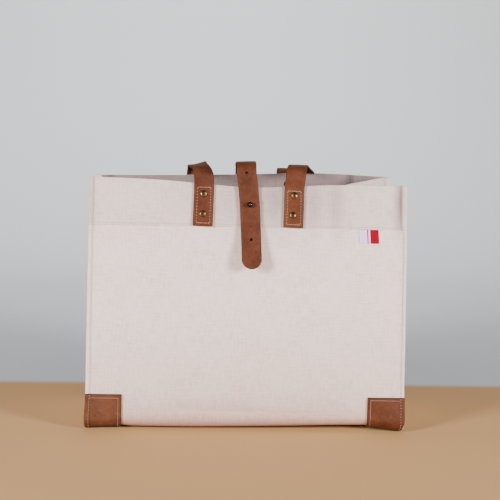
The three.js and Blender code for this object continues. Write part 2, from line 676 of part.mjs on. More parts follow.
add('body_canvas', makeBody(), canvasLook());
add('side_left', makeSide(LEFT), canvasLook());
add('side_right', makeSide(RIGHT), canvasLook());
for (const [end, panel] of [['front', FRONT], ['back', BACK]]) {
  add(`corner_patch_${end}_left`, makePatch(-1, panel), leatherLook());
  add(`corner_patch_${end}_right`, makePatch(1, panel), leatherLook());
}
add('handle_front', makeHandle(FRONT_HANDLE, FRONT), leatherLook());
add('handle_back', makeHandle(BACK_HANDLE, BACK), leatherLook());
add('closing_strap', makeClosingStrap(), leatherLook());
add('closing_stud', makeStud(), brassLook());
for (const seat of RIVET_SEATS) add(seat.name, makeRivet(seat), look(0xb08d57, 0.35, 1));
add('side_label', makeLabel(), look(0xdcd8e6, 0.8));

export default tote;
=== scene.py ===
"""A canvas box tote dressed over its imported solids: woven canvas, leather, brass and thread.

The tables repeat those of the part's source, in millimetres. Meshes are made in metres.
"""

import math
from collections import namedtuple

import bpy
import numpy as np
from bpy.props import FloatProperty, FloatVectorProperty, PointerProperty
from mathutils import Matrix, Vector


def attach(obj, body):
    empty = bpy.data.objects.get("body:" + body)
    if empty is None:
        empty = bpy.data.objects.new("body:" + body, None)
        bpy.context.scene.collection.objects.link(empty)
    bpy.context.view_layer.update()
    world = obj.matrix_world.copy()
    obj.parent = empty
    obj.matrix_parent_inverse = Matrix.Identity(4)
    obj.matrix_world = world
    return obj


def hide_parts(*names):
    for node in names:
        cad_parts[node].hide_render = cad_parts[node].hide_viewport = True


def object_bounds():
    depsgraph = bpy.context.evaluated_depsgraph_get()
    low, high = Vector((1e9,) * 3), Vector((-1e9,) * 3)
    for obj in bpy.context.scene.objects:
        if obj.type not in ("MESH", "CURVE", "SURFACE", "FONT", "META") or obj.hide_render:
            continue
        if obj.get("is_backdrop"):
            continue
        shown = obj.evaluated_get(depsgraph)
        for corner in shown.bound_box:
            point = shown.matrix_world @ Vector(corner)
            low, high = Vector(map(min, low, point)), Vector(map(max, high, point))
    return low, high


bl_info = {
    "name": "Canvas box tote",
    "version": (1, 0, 0),
    "blender": (4, 5, 0),
    "location": "View3D > Sidebar > Tote",
    "description": "Dresses the solids of a canvas box tote in cloth, leather, brass and thread",
    "category": "Add Mesh",
}

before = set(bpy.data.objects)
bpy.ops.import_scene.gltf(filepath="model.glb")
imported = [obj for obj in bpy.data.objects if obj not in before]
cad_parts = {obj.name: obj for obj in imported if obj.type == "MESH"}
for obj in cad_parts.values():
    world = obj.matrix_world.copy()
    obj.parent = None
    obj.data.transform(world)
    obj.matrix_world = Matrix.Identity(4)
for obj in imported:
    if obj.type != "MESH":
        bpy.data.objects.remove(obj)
CAD_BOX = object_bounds()
MM = 0.001

# Sizes of the bag, in millimetres, as in the part's source
WIDTH = 404
DEPTH = 178
HEIGHT = 316
CLOTH = 1.2
HEM_LINE = 257.6
SEAM = 7
BASE_FOLD = 12
LEAN = 29
LEAN_POWER = 1.6
NARROWING = 0.5
SWELL = 3
BASE_SAG = 2.05
TUCK_LEFT = 0.6
SIDE_CREASE = 0.2
STRAP_WIDTH = 25.4
STRAP_THICK = 2.8
PATCH_WIDTH = 45
PATCH_HEIGHT = 43.5
PATCH_THICK = 1.8
LABEL_LEFT = 140.8
LABEL_RIGHT = 165.5
LABEL_FOOT = 239.6
GAP = 0.3
SEAT_GAP = 0.5
STUD_X = 0.1
STUD_Z = 284
STUD_FLANGE = 1.2
# The part tucks its right edge in by 1.6 under the base. Here the canvas shows beside the patch.
TUCK_RIGHT = 0.3

HEM_OUT = CLOTH * 1.5
SEWN = HEM_OUT + SEAT_GAP + STRAP_THICK / 2
AT_STUD = HEM_OUT + 2 * GAP + STUD_FLANGE + STRAP_THICK / 2
PATCH_OUT = CLOTH / 2 + GAP
BASE_Z = PATCH_THICK + GAP + CLOTH / 2
FOLD_TOP = BASE_Z + BASE_FOLD
BASE_REACH = DEPTH / 2 - BASE_FOLD
FOOT_RISE = PATCH_HEIGHT - FOLD_TOP
FOLD_LENGTH = BASE_FOLD * math.pi / 2
BASE_DROP = FOOT_RISE + FOLD_LENGTH
PATCH_DROP = BASE_DROP + BASE_REACH - (DEPTH / 2 - PATCH_WIDTH)

Swell = namedtuple("Swell", "x height spread")
Panel = namedtuple("Panel", "facing rim_left rim_right drawn_in spread swells")
FRONT = Panel(-1, 316.5, 313, 10, 87, (Swell(0, -7.7, 87),))
BACK = Panel(1, 313.7, 316.7, -3, 110, (Swell(110, 5.5, 95), Swell(-10, 2, 110)))

# How far the bottom folds rise off the floor, from the left edge to the right
FOOT_LIFTS = (
    (-1, 0), (-0.94, 1.5), (-0.86, 2.1), (-0.79, 1.9), (-0.72, 0.6), (-0.53, 0), (-0.28, 0), (0, 0.9),
    (0.29, 2.1), (0.54, 3.4), (0.72, 3.8), (0.79, 4.2), (0.86, 2.6), (0.93, 0.9), (0.97, 0), (1, 0),
)

# How far the foot of a panel is pushed out at a corner
Flare = namedtuple("Flare", "panel side reach")
FLARES = (Flare(FRONT, -1, 1.5), Flare(FRONT, 1, 7), Flare(BACK, -1, 3), Flare(BACK, 1, 2))
# Where a flare starts and is full across a panel, between which heights it ends, and how far under the base
FLARE_FADE = (0.7, 0.98)
FLARE_HEIGHTS = (8, 62)
FLARE_UNDER = 40

Side = namedtuple("Side", "name toward dip dip_power")
SIDES = (Side("left", -1, 12, 0.5), Side("right", 1, 6.8, 1.1))

# Soft dents in the panels. A positive depth goes inwards.
Dent = namedtuple("Dent", "panel x z wide tall depth")
DENTS = (
    Dent(FRONT, 10, 24, 95, 13, 2.6),
    Dent(FRONT, 0, 52, 130, 22, -1.8),
    Dent(FRONT, -140, 30, 16, 22, 1.4),
    Dent(FRONT, 138, 38, 18, 24, 1.4),
    Dent(FRONT, 100, 290, 26, 45, 2.2),
    Dent(BACK, -20, 70, 120, 40, 2.4),
)

# Creases in the panels, from one point to another. A positive height stands out.
Crease = namedtuple("Crease", "panel x0 z0 x1 z1 wide height")
CREASES = (
    Crease(FRONT, 126, 38, 150, 15, 2.6, 1.3),
    Crease(FRONT, 121, 34, 144, 12, 2.6, -1.3),
    Crease(FRONT, -150, 17, -124, 11, 2.4, 1.4),
    Crease(FRONT, -152, 24, -112, 17, 3.2, -1.1),
    Crease(FRONT, -90, 27, 20, 19, 4.5, -1.2),
    Crease(FRONT, -20, 34, 110, 25, 5.5, 1.0),
    Crease(FRONT, 113, 312, 110, 262, 4.5, -1.5),
    Crease(FRONT, 124, 312, 122, 258, 5.0, 1.3),
    Crease(FRONT, 92, 311, 94, 262, 4.5, -1.3),
    Crease(FRONT, 103, 311, 102, 264, 4.5, 0.9),
    Crease(FRONT, 24, 306, 27, 225, 6.0, -1.0),
    Crease(FRONT, -22, 306, -27, 232, 6.0, -0.9),
    Crease(FRONT, 166, 200, 188, 236, 7.0, 0.7),
    Crease(FRONT, -186, 130, -150, 60, 9.0, -0.7),
    Crease(FRONT, 188, 170, 176, 90, 8.0, -0.7),
    Crease(FRONT, -120, 60, -60, 44, 7.0, 0.5),
    Crease(BACK, 142, 320, 146, 250, 4.0, -2.2),
    Crease(BACK, 131, 320, 136, 262, 4.5, 1.5),
    Crease(BACK, -120, 300, -150, 180, 9.0, 0.7),
    Crease(BACK, 80, 40, 140, 14, 5.0, -0.8),
    Crease(BACK, -60, 30, 40, 20, 5.0, -0.8),
    Crease(BACK, -148, 30, -120, 12, 4.0, 0.7),
)
# How a crease fades at both ends, in shares of its length
CREASE_FADE = (-0.25, 0.3)

# Soft waves all over the panels, each the product of two sines with their lengths along x and z
Wave = namedtuple("Wave", "height phase x0 z0 x1 z1")
WAVES = (Wave(0.42, 1, 21, 47, 63, -33), Wave(0.24, 0, 9.5, -26, 40, 19))

# Where sewing keeps the canvas flat: beside the handles' tabs, round the patches and along the side edges
TAB_X = 58
TAB_SPREAD = 15
TAB_FADE = (246, 256)
PATCH_HELD = 46
PATCH_CLEAR = 58
EDGE_FADE = (4, 20)

# The side seams: how far in they lie, deeper in the right of the hem, and the groove that they draw
SEAM_LEFT = 4.8
SEAM_RIGHT = 3.8
SEAM_IN_HEM = 3.8
SEAM_STEP = (HEM_LINE - 6, HEM_LINE + 4)
GROOVE_DEPTH = 1.1
GROOVE_WIDE = 1.6
GROOVE_FADE = (PATCH_HEIGHT - 2, PATCH_HEIGHT + 6)

# Soft spots of painted shade in the canvas, on the panels' outsides or within the bag, by the straps and in
# creases
ShadeSpot = namedtuple("ShadeSpot", "panel within x z wide tall amount")
SHADE_SPOTS = (
    ShadeSpot(FRONT, 0, 20, 300, 85, 45, 0.48),
    ShadeSpot(FRONT, 0, 36, 292, 16, 40, 0.2),
    ShadeSpot(FRONT, 0, 110, 292, 8, 40, 0.3),
    ShadeSpot(FRONT, 0, 82, 290, 9, 40, 0.25),
    ShadeSpot(FRONT, 0, 191.5, 292, 5.5, 38, 0.74),
    ShadeSpot(FRONT, 0, -202, 290, 10, 60, 0.2),
    ShadeSpot(FRONT, 0, 0, 60, 170, 40, 0.12),
    ShadeSpot(FRONT, 0, 2.2, 241, 6, 6, 1.5),
    ShadeSpot(BACK, 1, 146, 310, 6, 30, 0.95),
    ShadeSpot(BACK, 1, -30, 316, 50, 30, 0.4),
    ShadeSpot(BACK, 1, 3, 319, 7, 6, 1.5),
    ShadeSpot(BACK, 1, 168, 312, 14, 30, 0.4),
    ShadeSpot(BACK, 1, -182, 316, 7, 9, 0.8),
)
# Spots of painted light and shade on the leather, paler for more light, darker for less: the middle, how far
# it reaches and the tint
LightSpot = namedtuple("LightSpot", "middle reach tone")
LIGHT_SPOTS = (
    LightSpot((57, -62, 283), 27, (1.36, 1.5, 1.5)),
    LightSpot((-60, -56, 322), 22, (0.75, 0.75, 0.75)),
    LightSpot((-59, -62, 280), 20, (1.14, 1.0, 0.95)),
    LightSpot((-180, -80, 22), 34, (1.32, 1.75, 2.4)),
    LightSpot((180, -82, 30), 22, (1.2, 1.38, 1.6)),
    LightSpot((2, 63, 321), 6, (0.2, 0.2, 0.2)),
)
# The hem leans back from the light, and little of it reaches the furrows of the side seams
HEM_SHADE = 0.22
SEAM_SHADE = 0.4
SEAM_SHADE_WIDE = 1.5
# Heights above the floor, and how much of the foot's tint, painted shade with a warm floor bounce, the
# canvas takes there
LOW_SHADE = ((0, 6, 14, 22, 30, 45, 83, 122, 160), (0.97, 0.86, 0.68, 0.48, 0.33, 0.2, 0.09, 0.03, 0))
LOW_SHADE_FADE = (2, 8)
# How much of the inner tint, a painted shade, the canvas takes inside, the side walls' share of that, and
# the darkest tint
INNER_SHADE = 0.85
SIDE_WITHIN = 0.4
DARKEST = 0.02

RivetSeat = namedtuple("RivetSeat", "name panel x z")
RIVET_SEATS = (
    RivetSeat("rivet_front_left_upper", FRONT, -58.7, 297.6),
    RivetSeat("rivet_front_left_lower", FRONT, -59.4, 272.6),
    RivetSeat("rivet_front_right_upper", FRONT, 57, 297.5),
    RivetSeat("rivet_front_right_lower", FRONT, 55.2, 272.8),
    RivetSeat("rivet_back_left_upper", BACK, -59.3, 303),
    RivetSeat("rivet_back_left_lower", BACK, -59.3, 278),
    RivetSeat("rivet_back_right_upper", BACK, 59.3, 307.5),
    RivetSeat("rivet_back_right_lower", BACK, 59.3, 282.5),
)


# Colours and the sizes of finishes


def linear(code):
    """Turns an sRGB hex colour to linear RGBA."""
    channels = [int(code[k:k + 2], 16) / 255 for k in (1, 3, 5)]
    curve = [c / 12.92 if c <= 0.04045 else ((c + 0.055) / 1.055) ** 2.4 for c in channels]
    return (*curve, 1.0)


def colour(name, description, code):
    return FloatVectorProperty(
        name=name, description=description, subtype="COLOR", size=4, min=0, max=1, default=linear(code)
    )


def length(name, description, millimetres):
    return FloatProperty(
        name=name, description=description, default=millimetres * MM, min=0,
        subtype="DISTANCE", unit="LENGTH",
    )


def power(name, description, watts):
    return FloatProperty(name=name, description=description, default=watts, min=0, unit="POWER")


class ToteCanvas(bpy.types.PropertyGroup):
    """The canvas and its ribbon label."""

    yarn: length("Yarn spacing", "Distance between the drawn yarns of the canvas", 1.5)
    pale: colour("Pale yarn", "Colour of most of the canvas", "#F1DAD5")
    dull: colour("Dull yarn", "Colour of the duller patches of the canvas", "#BFA59B")
    # The handled tint is painted shade, laid in spots, on the hem and in the seam furrows
    handled_and_shaded: colour("Handled tint", "Tint of the canvas where it is handled and creased", "#A6A4A6")
    # The foot tint is painted shade with a warm floor bounce, darker towards the bottom
    foot: colour("Foot tint", "Tint of the canvas where dust and the floor's light reach it", "#AD8768")
    # The inner tint is painted shade inside the bag
    within: colour("Inner tint", "Tint of the canvas inside the bag", "#88807E")
    fleck: colour("Seed flecks", "Colour of the few flecks of seed husk", "#A2907F")
    ribbon: colour("Ribbon", "Ground colour of the label's ribbon", "#F2CEFF")
    stripe: colour("Ribbon stripe", "Colour of the stripes woven in the ribbon", "#960024")


class ToteLeather(bpy.types.PropertyGroup):
    """The leather of straps and patches."""

    pore: length("Pore spacing", "Distance between the drawn pores of the grain", 1.3)
    crown: length("Crown", "How far a strap's grain side is rounded", 0.2)
    tan: colour("Tan", "Main colour of the grain side", "#5B2E18")
    dark: colour("Dark tan", "Colour of handled and oiled places", "#47210F")
    scuffed: colour("Scuffed tan", "Colour of rubbed places", "#744124")
    cut: colour("Cut edge", "Colour of the cut edges", "#552A15")
    flesh: colour("Flesh side", "Colour of the rough side", "#60361F")


class ToteMetal(bpy.types.PropertyGroup):
    """The rivets and the closing stud."""

    cap: length("Rivet cap", "Radius of a rivet's cap", 4.5)
    cap_height: length("Rivet cap height", "Height of a rivet's domed cap", 1.9)
    brass: colour("Brass", "Colour of the rubbed brass", "#8C744F")
    tarnish: colour("Tarnish", "Colour of the tarnish", "#3A2D16")
    stud: colour("Stud", "Colour of the dark stud", "#5C4E3D")
    grime: colour("Stud grime", "Colour of the stud's hollows", "#1C1510")


class ToteThread(bpy.types.PropertyGroup):
    """The sewing."""

    white_thick: length("White thread", "Thickness of the thread in the leather", 0.5)
    white_pitch: length("White pitch", "Distance from stitch to stitch in the leather", 2.6)
    seam_thick: length("Seam thread", "Thickness of the thread in the canvas", 0.5)
    seam_pitch: length("Seam pitch", "Distance from stitch to stitch in the canvas", 2.6)
    white: colour("White", "Colour of the thread in the leather", "#D2B4A0")
    natural: colour("Natural", "Colour of the thread in the canvas", "#B09780")


class ToteStage(bpy.types.PropertyGroup):
    """The floor, backdrop and lamps."""

    floor: colour("Floor", "Colour of the floor", "#BE9463")
    wall: colour("Backdrop", "Colour of the backdrop", "#C3C5C8")
    key: power("Key lamp", "Power of the lamp at the left", 79)
    fill: power("Fill lamp", "Power of the lamp at the right", 72)
    back: power("Back lamp", "Power of the backdrop's lamp", 34)
    room: colour("Room", "Colour of the light from all round", "#EDEFF2")
    sky: FloatProperty(name="Room light", description="Strength of the light from all round", default=0.12)


# The shape of the canvas


def smooth(value, start, end):
    share = np.clip((value - start) / (end - start), 0, 1)
    return share * share * (3 - 2 * share)


def bell(distance, spread):
    return np.exp(-((distance / spread) ** 2))


def unit(vectors):
    return vectors / np.linalg.norm(vectors, axis=-1, keepdims=True)


def to_u(from_edge):
    return 1 - from_edge / (WIDTH / 2)


# How far over the base fold the panels' relief starts, and where the base starts to sag
FOLD_FADE = 10
SAG_ENDS = (6, 60)
SAG_SIDES = 36
# Steps across and down the strip between which its slope is measured
STEP_U = 0.004
STEP_DROP = 0.5
PATCH_U = to_u(PATCH_WIDTH)
# Widths and depths go on past the rim as far as this share of the height
OVER_RIM = 1.05


def half_width(z):
    return WIDTH / 2 - NARROWING * np.clip(z / HEIGHT, 0, OVER_RIM) ** 2


def rim_height(panel, u):
    level = panel.rim_left + (panel.rim_right - panel.rim_left) * (u + 1) / 2
    return level + sum(s.height * bell(u * WIDTH / 2 - s.x, s.spread) for s in panel.swells)


def free_cloth(x, z):
    """1 where the canvas is free to crease, 0 where straps and patches are sewn on it."""
    by_tab = bell(np.abs(x) - TAB_X, TAB_SPREAD) * smooth(z, *TAB_FADE)
    beside_patch = smooth(WIDTH / 2 - np.abs(x), PATCH_WIDTH, PATCH_CLEAR)
    above_patch = smooth(z, PATCH_HELD, PATCH_CLEAR)
    return (1 - by_tab) * (1 - (1 - beside_patch) * (1 - above_patch))


def relief(panel, x, z):
    """Outward height of a panel's creases, soft waves and seam groove."""
    height = np.zeros(x.shape)
    for crease in CREASES:
        if crease.panel is panel:
            across = crease.x1 - crease.x0
            up = crease.z1 - crease.z0
            share = ((x - crease.x0) * across + (z - crease.z0) * up) / (across ** 2 + up ** 2)
            away = ((x - crease.x0) * up - (z - crease.z0) * across) / math.hypot(across, up)
            ends = smooth(share, *CREASE_FADE) * smooth(1 - share, *CREASE_FADE)
            height += crease.height * bell(away, crease.wide) * ends
    for wave in WAVES:
        first = np.sin(x / wave.x0 + z / wave.z0 + wave.phase * panel.facing)
        height += wave.height * first * np.sin(x / wave.x1 + z / wave.z1)
    from_edge = half_width(z) - np.abs(x)
    groove = GROOVE_DEPTH * bell(from_edge - seam_inset(x, z), GROOVE_WIDE) * smooth(z, *GROOVE_FADE)
    return height * free_cloth(x, z) * smooth(from_edge, *EDGE_FADE) - groove


def seam_inset(x, z):
    """How far the side seam's stitches lie from the edge: near it, but deeper in the hem at the right."""
    return np.where(x < 0, SEAM_LEFT, SEAM_RIGHT + SEAM_IN_HEM * smooth(z, *SEAM_STEP))


def corner_flare(panel, u):
    """How far the foot is pushed out near the corners."""
    return sum(flare.reach * smooth(flare.side * u, *FLARE_FADE) for flare in FLARES if flare.panel is panel)


def panel_point(panel, u, z):
    """A point in the middle of a panel's inner layer. u runs from -1 to 1 across the width."""
    x = u * half_width(z)
    share = np.clip((z - FOLD_TOP) / HEIGHT, 0, OVER_RIM)
    half_depth = DEPTH / 2 - LEAN * np.clip(z / HEIGHT, 0, OVER_RIM) ** LEAN_POWER
    belly = SWELL * np.sin(np.pi * np.minimum(share, 1)) * (1 - u * u)
    drawn = panel.drawn_in * bell(x, panel.spread) * share ** 3
    outward = relief(panel, x, z)
    for dent in DENTS:
        if dent.panel is panel:
            outward = outward - dent.depth * bell(x - dent.x, dent.wide) * bell(z - dent.z, dent.tall)
    above_fold = smooth(z, FOLD_TOP, FOLD_TOP + FOLD_FADE)
    flare = corner_flare(panel, u) * (1 - smooth(z, *FLARE_HEIGHTS))
    y = panel.facing * (half_depth + belly - drawn + outward * above_fold + flare)
    return np.stack([x, y, z], axis=-1)


def strip_point(panel, drop, u):
    """A point of the canvas strip. Drop is the way down from the patch's top, round the fold and under."""
    drop, u = np.broadcast_arrays(np.asarray(drop, float), np.asarray(u, float))
    lift = np.interp(u, *zip(*FOOT_LIFTS))
    upright = panel_point(panel, u, PATCH_HEIGHT - drop + lift * np.clip(drop / FOOT_RISE, 0, 1))
    turned = np.clip((drop - FOOT_RISE) / BASE_FOLD, 0, math.pi / 2)
    inward = np.maximum(drop - BASE_DROP, 0)
    under = np.sin(turned)
    near_edge = smooth(np.abs(u), PATCH_U, 1)
    x = u * WIDTH / 2 + np.where(u < 0, TUCK_LEFT, -TUCK_RIGHT) * near_edge * under ** 2
    flare = corner_flare(panel, u) * (1 - smooth(inward, 0, FLARE_UNDER))
    y = panel.facing * (BASE_REACH + BASE_FOLD * np.cos(turned) + flare - inward)
    end_free = smooth(WIDTH / 2 - PATCH_WIDTH - np.abs(x), *SAG_ENDS)
    side_free = smooth(inward, 0, SAG_SIDES)
    z = BASE_Z + BASE_FOLD * (1 - under) + lift * (1 - side_free) - BASE_SAG * end_free * side_free
    below = np.stack([x, y, z], axis=-1)
    return np.where((drop > FOOT_RISE)[..., None], below, upright)


def strip_frame(panel, drop, u):
    """Points of the strip, with the way out at each."""
    across = strip_point(panel, drop, u + STEP_U) - strip_point(panel, drop, u - STEP_U)
    down = strip_point(panel, drop + STEP_DROP, u) - strip_point(panel, drop - STEP_DROP, u)
    return strip_point(panel, drop, u), unit(np.cross(across, down)) * panel.facing


def on_panel(panel, x, z, offset=0.0):
    """A point on a panel at an offset from the middle of its inner layer, with the way out there."""
    x, z = np.broadcast_arrays(np.asarray(x, float), np.asarray(z, float))
    point, out = strip_frame(panel, PATCH_HEIGHT - z, x / half_width(z))
    return point + out * offset, out


# Steps down the strip below the hem: its thin edge with the outside's offset at each, then the panel,
# the foot, the fold and half of the base
HEM_DROP = PATCH_HEIGHT - HEM_LINE
HEM_EDGE = ((0.1, 1.55), (0.25, 1.0), (0.45, 0.68), (1.6, 0.6))
LOW_DROPS = np.concatenate([
    [HEM_DROP + below for below, _ in HEM_EDGE],
    np.linspace(HEM_DROP + 4, 0, 54),
    np.linspace(0, FOOT_RISE, 13)[1:],
    FOOT_RISE + FOLD_LENGTH * np.linspace(0, 1, 13)[1:],
    np.linspace(BASE_DROP, BASE_DROP + BASE_REACH, 20)[1:],
])
HEM_ROWS = 20
CORNER_ROW = HEM_ROWS + int(np.argmin(np.abs(LOW_DROPS - FOOT_RISE - FOLD_LENGTH / 2)))


def canvas_painted_shade(look, points, within):
    """A colour for each point of the canvas that dims it: painted shade in spots, the hem and the seam
    furrows, at the foot with a warm floor bounce, and inside.
    """
    x, y, z = points.T
    painted_shade = np.zeros(len(points))
    for spot in SHADE_SPOTS:
        here = (y * spot.panel.facing > 0) * np.where(spot.within, within, 1 - within)
        painted_shade += spot.amount * here * bell(x - spot.x, spot.wide) * bell(z - spot.z, spot.tall)
    from_edge = half_width(z) - np.abs(x)
    # Painted shade and warm floor bounce, darker towards the bottom
    shade_low = np.interp(z, *LOW_SHADE) * (1 - within) * smooth(from_edge, *LOW_SHADE_FADE)
    seams = bell(from_edge - seam_inset(x, z), SEAM_SHADE_WIDE) * (z > PATCH_HEIGHT)
    painted_shade += (SEAM_SHADE * seams + HEM_SHADE * (z > HEM_LINE)) * (1 - within)
    tint = np.ones((len(points), 4))
    # Each tint multiplies painted shade into the canvas
    for amount, tone in ((painted_shade, look.handled_and_shaded), (shade_low, look.foot), (INNER_SHADE * within, look.within)):
        tint[:, :3] *= np.maximum(1 - amount[:, None] * (1 - np.array(tone[:3])), DARKEST)
    return tint


def leather_painted_light(points):
    """A colour for each point of the leather that is 1 but for its spots of painted light and shade."""
    tint = np.ones((len(points), 4))
    for rub_and_light in LIGHT_SPOTS:
        near = bell(np.linalg.norm(points - np.array(rub_and_light.middle), axis=1), rub_and_light.reach)
        tint[:, :3] *= 1 + near[:, None] * (np.array(rub_and_light.tone) - 1)
    return tint


def half_drops(panel, us):
    """Drops of the rows of half the strip, from the rim to the middle of the base, for each u."""
    shares = np.linspace(1, 0, HEM_ROWS)[:, None]
    hem = PATCH_HEIGHT - (HEM_LINE + shares * (rim_height(panel, us) - HEM_LINE))
    return np.vstack([hem, np.repeat(LOW_DROPS[:, None], len(us), axis=1)])


def outer_offsets():
    """How far the outside lies from the middle of the inner layer, row by row, thicker in the hem."""
    offsets = np.full(HEM_ROWS + len(LOW_DROPS), CLOTH / 2)
    offsets[:HEM_ROWS] = HEM_OUT
    for k, (_, offset) in enumerate(HEM_EDGE):
        offsets[HEM_ROWS + k] = offset
    return offsets


# Meshes


def deselect_all():
    if bpy.context.mode != "OBJECT":
        bpy.ops.object.mode_set(mode="OBJECT")
    bpy.ops.object.select_all(action="DESELECT")


def select_only(piece):
    deselect_all()
    piece.select_set(True)
    bpy.context.view_layer.objects.active = piece


def new_piece(name, points, faces, groups, surface, materials, smooth_angle=40, tint=None):
    """Makes a mesh in metres from points in millimetres, with a UV map of its surface and maybe a tint."""
    mesh = bpy.data.meshes.new(name)
    mesh.from_pydata((np.asarray(points) * MM).tolist(), [], [list(face) for face in faces])
    for material in materials:
        mesh.materials.append(material)
    mesh.polygons.foreach_set("material_index", np.asarray(groups, dtype=np.int32))
    layer = mesh.uv_layers.new(name="surface")
    corners = np.zeros(len(mesh.loops), dtype=np.int32)
    mesh.loops.foreach_get("vertex_index", corners)
    layer.data.foreach_set("uv", (np.asarray(surface)[corners] * MM).astype(np.float32).ravel())
    if tint is not None:
        tones = mesh.attributes.new("tint", "FLOAT_COLOR", "POINT")
        tones.data.foreach_set("color", tint.astype(np.float32).ravel())
    mesh.validate()
    piece = bpy.data.objects.new(name, mesh)
    bpy.context.scene.collection.objects.link(piece)
    select_only(piece)
    bpy.ops.object.shade_smooth_by_angle(angle=math.radians(smooth_angle))
    return piece


def settle(piece, slot, *nodes):
    """Fixes a finished piece to the bag, in place of the solids that it stands for."""
    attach(piece, "root")
    if nodes:
        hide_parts(*nodes)


def wall(grid, outer, inner, round_edge):
    """A closed wall about a grid of points, whose edges are rounded by one more row of points.

    The way along a row crossed with the way down the rows points outwards. Gives points, faces, face groups
    (0 outside, 1 inside, 2 edge) and the place of each point on the flat surface."""
    rows, columns = grid.shape[:2]
    along = np.gradient(grid, axis=1)
    down = np.gradient(grid, axis=0)
    normals = unit(np.cross(along, down))
    outside = grid + normals * np.broadcast_to(outer, (rows, columns))[..., None]
    inside = grid + normals * np.broadcast_to(inner, (rows, columns))[..., None]

    index = np.arange(rows * columns).reshape(rows, columns)
    corners = (index[:-1, :-1], index[:-1, 1:], index[1:, 1:], index[1:, :-1])
    quads = np.stack(corners, axis=-1).reshape(-1, 4)
    count = rows * columns
    rim = np.concatenate([index[0, :-1], index[:-1, -1], index[-1, :0:-1], index[:0:-1, 0]])
    outward = np.zeros(grid.shape)
    outward[0] -= unit(down[0])
    outward[-1] += unit(down[-1])
    outward[:, 0] -= unit(along[:, 0])
    outward[:, -1] += unit(along[:, -1])
    middle = (outside + inside).reshape(-1, 3)[rim] / 2 + unit(outward.reshape(-1, 3)[rim]) * round_edge
    bead = 2 * count + np.arange(len(rim))
    after = np.roll(rim, -1)
    bead_after = np.roll(bead, -1)
    outer_edge = np.stack([after, rim, bead, bead_after], axis=-1)
    inner_edge = np.stack([bead_after, bead, rim + count, after + count], axis=-1)

    points = np.concatenate([outside.reshape(-1, 3), inside.reshape(-1, 3), middle])
    faces = np.concatenate([quads, quads[:, ::-1] + count, outer_edge, inner_edge])
    groups = np.repeat([0, 1, 2], [len(quads), len(quads), 2 * len(rim)])
    steps_along = np.linalg.norm(np.diff(grid, axis=1, prepend=grid[:, :1]), axis=-1).cumsum(axis=1)
    steps_down = np.linalg.norm(np.diff(grid, axis=0, prepend=grid[:1]), axis=-1).cumsum(axis=0)
    flat = np.stack([steps_along, steps_down], axis=-1).reshape(-1, 2)
    return points, faces, groups, np.concatenate([flat, flat, flat[rim]])


def within_of(grid, points):
    """For each point of a wall about a grid, 0 on its outside, 1 on its inside and a half on its edge."""
    count = grid.shape[0] * grid.shape[1]
    return np.repeat([0, 1, 0.5], [count, count, len(points) - 2 * count])


# Straps

StrapRow = namedtuple("StrapRow", "point turn tilt curl")
Strap = namedtuple("Strap", "run middle width face curl")


def seat(panel, x, z, offset, turn):
    """A row of a strap that lies on a panel, turned with the panel."""
    point, out = on_panel(panel, x, z, offset)
    heading = math.degrees(math.atan2(-panel.facing * out[0], panel.facing * out[1]))
    return StrapRow(point, turn + heading, 0, 0)


def free(x, y, z, turn, tilt=0, curl=0):
    return StrapRow(np.array([x, y, z], float), turn, tilt, curl)


# Turn is the heading of the strap's width about +Z and tilt lifts the edge that it points to, in degrees.
# Curl lifts the other edge alone, in millimetres.
FRONT_HANDLE = (
    seat(FRONT, -59.4, 257.4, SEWN, 0),
    seat(FRONT, -58.7, 284, SEWN, 0),
    seat(FRONT, -58.2, 309, SEWN, 0),
    free(-58.6, -60.4, 321.5, 8, 1),
    free(-61.2, -54, 330, 34, 7),
    free(-66.5, -40, 334, 56, 13, 0.6),
    free(-66.8, -20, 332.4, 36, 10, -1),
    free(-65.6, 12, 329.6, 20, 6, -2),
    free(-65, 46, 327.6, 15, 5, -1.5),
    free(-65, 68, 326.6, 14, 4),
    free(-65.6, 84, 320.1, 18, 2),
    free(-66.6, 93, 307, 26),
    free(-64, 101, 280, 48),
    free(-50, 106.5, 252, 74),
    free(-24, 109, 234, 86),
    free(9, 109.5, 227.5, 90),
    free(42, 109, 234, 94),
    free(69, 109, 253, 108),
    free(82.3, 103, 280, 126),
    free(85.2, 93.5, 305, 134),
    free(84.9, 85.5, 317, 135, 0, -1.5),
    free(84.6, 75, 323.9, 135, 0, -2),
    free(84.5, 63, 325.6, 136, 0, -2),
    free(81, 48, 327.6, 146, 0, -2),
    free(73.4, 20, 331, 160, 0, -0.8),
    free(67.2, -14, 334, 165),
    free(62.6, -42, 335.3, 168),
    free(60, -54.6, 331.4, 174),
    free(58.3, -60.6, 321, 179),
    seat(FRONT, 57.3, 308, SEWN, 180),
    seat(FRONT, 56.7, 284, SEWN, 180),
    seat(FRONT, 55.7, 257.4, SEWN, 180),
)
BACK_HANDLE = (
    seat(BACK, 59.4, 262, SEWN, 180),
    seat(BACK, 59.4, 288, SEWN, 180),
    seat(BACK, 59.4, 312, SEWN, 180),
    free(58.9, 66.4, 322, 180),
    free(58.8, 73.4, 327.2, 180),
    free(58.7, 80.5, 322, 182),
    free(59, 83.2, 307, 186),
    free(61, 86, 270, 200),
    free(62, 90.5, 220, 225),
    free(54, 97, 165, 252),
    free(32, 100.5, 128, 266),
    free(0, 101, 116, 270),
    free(-32, 100.5, 128, 274),
    free(-54, 97, 165, 288),
    free(-62, 90.5, 220, 315),
    free(-61.6, 85, 270, 340),
    free(-60.2, 81, 305, 354),
    free(-59.8, 78, 316, 358),
    free(-59.6, 71.8, 320.6, 360),
    free(-59.5, 66.2, 317.6, 360),
    seat(BACK, -59.4, 309, SEWN, 360),
    seat(BACK, -59.4, 286, SEWN, 360),
    seat(BACK, -59.4, 259, SEWN, 360),
)
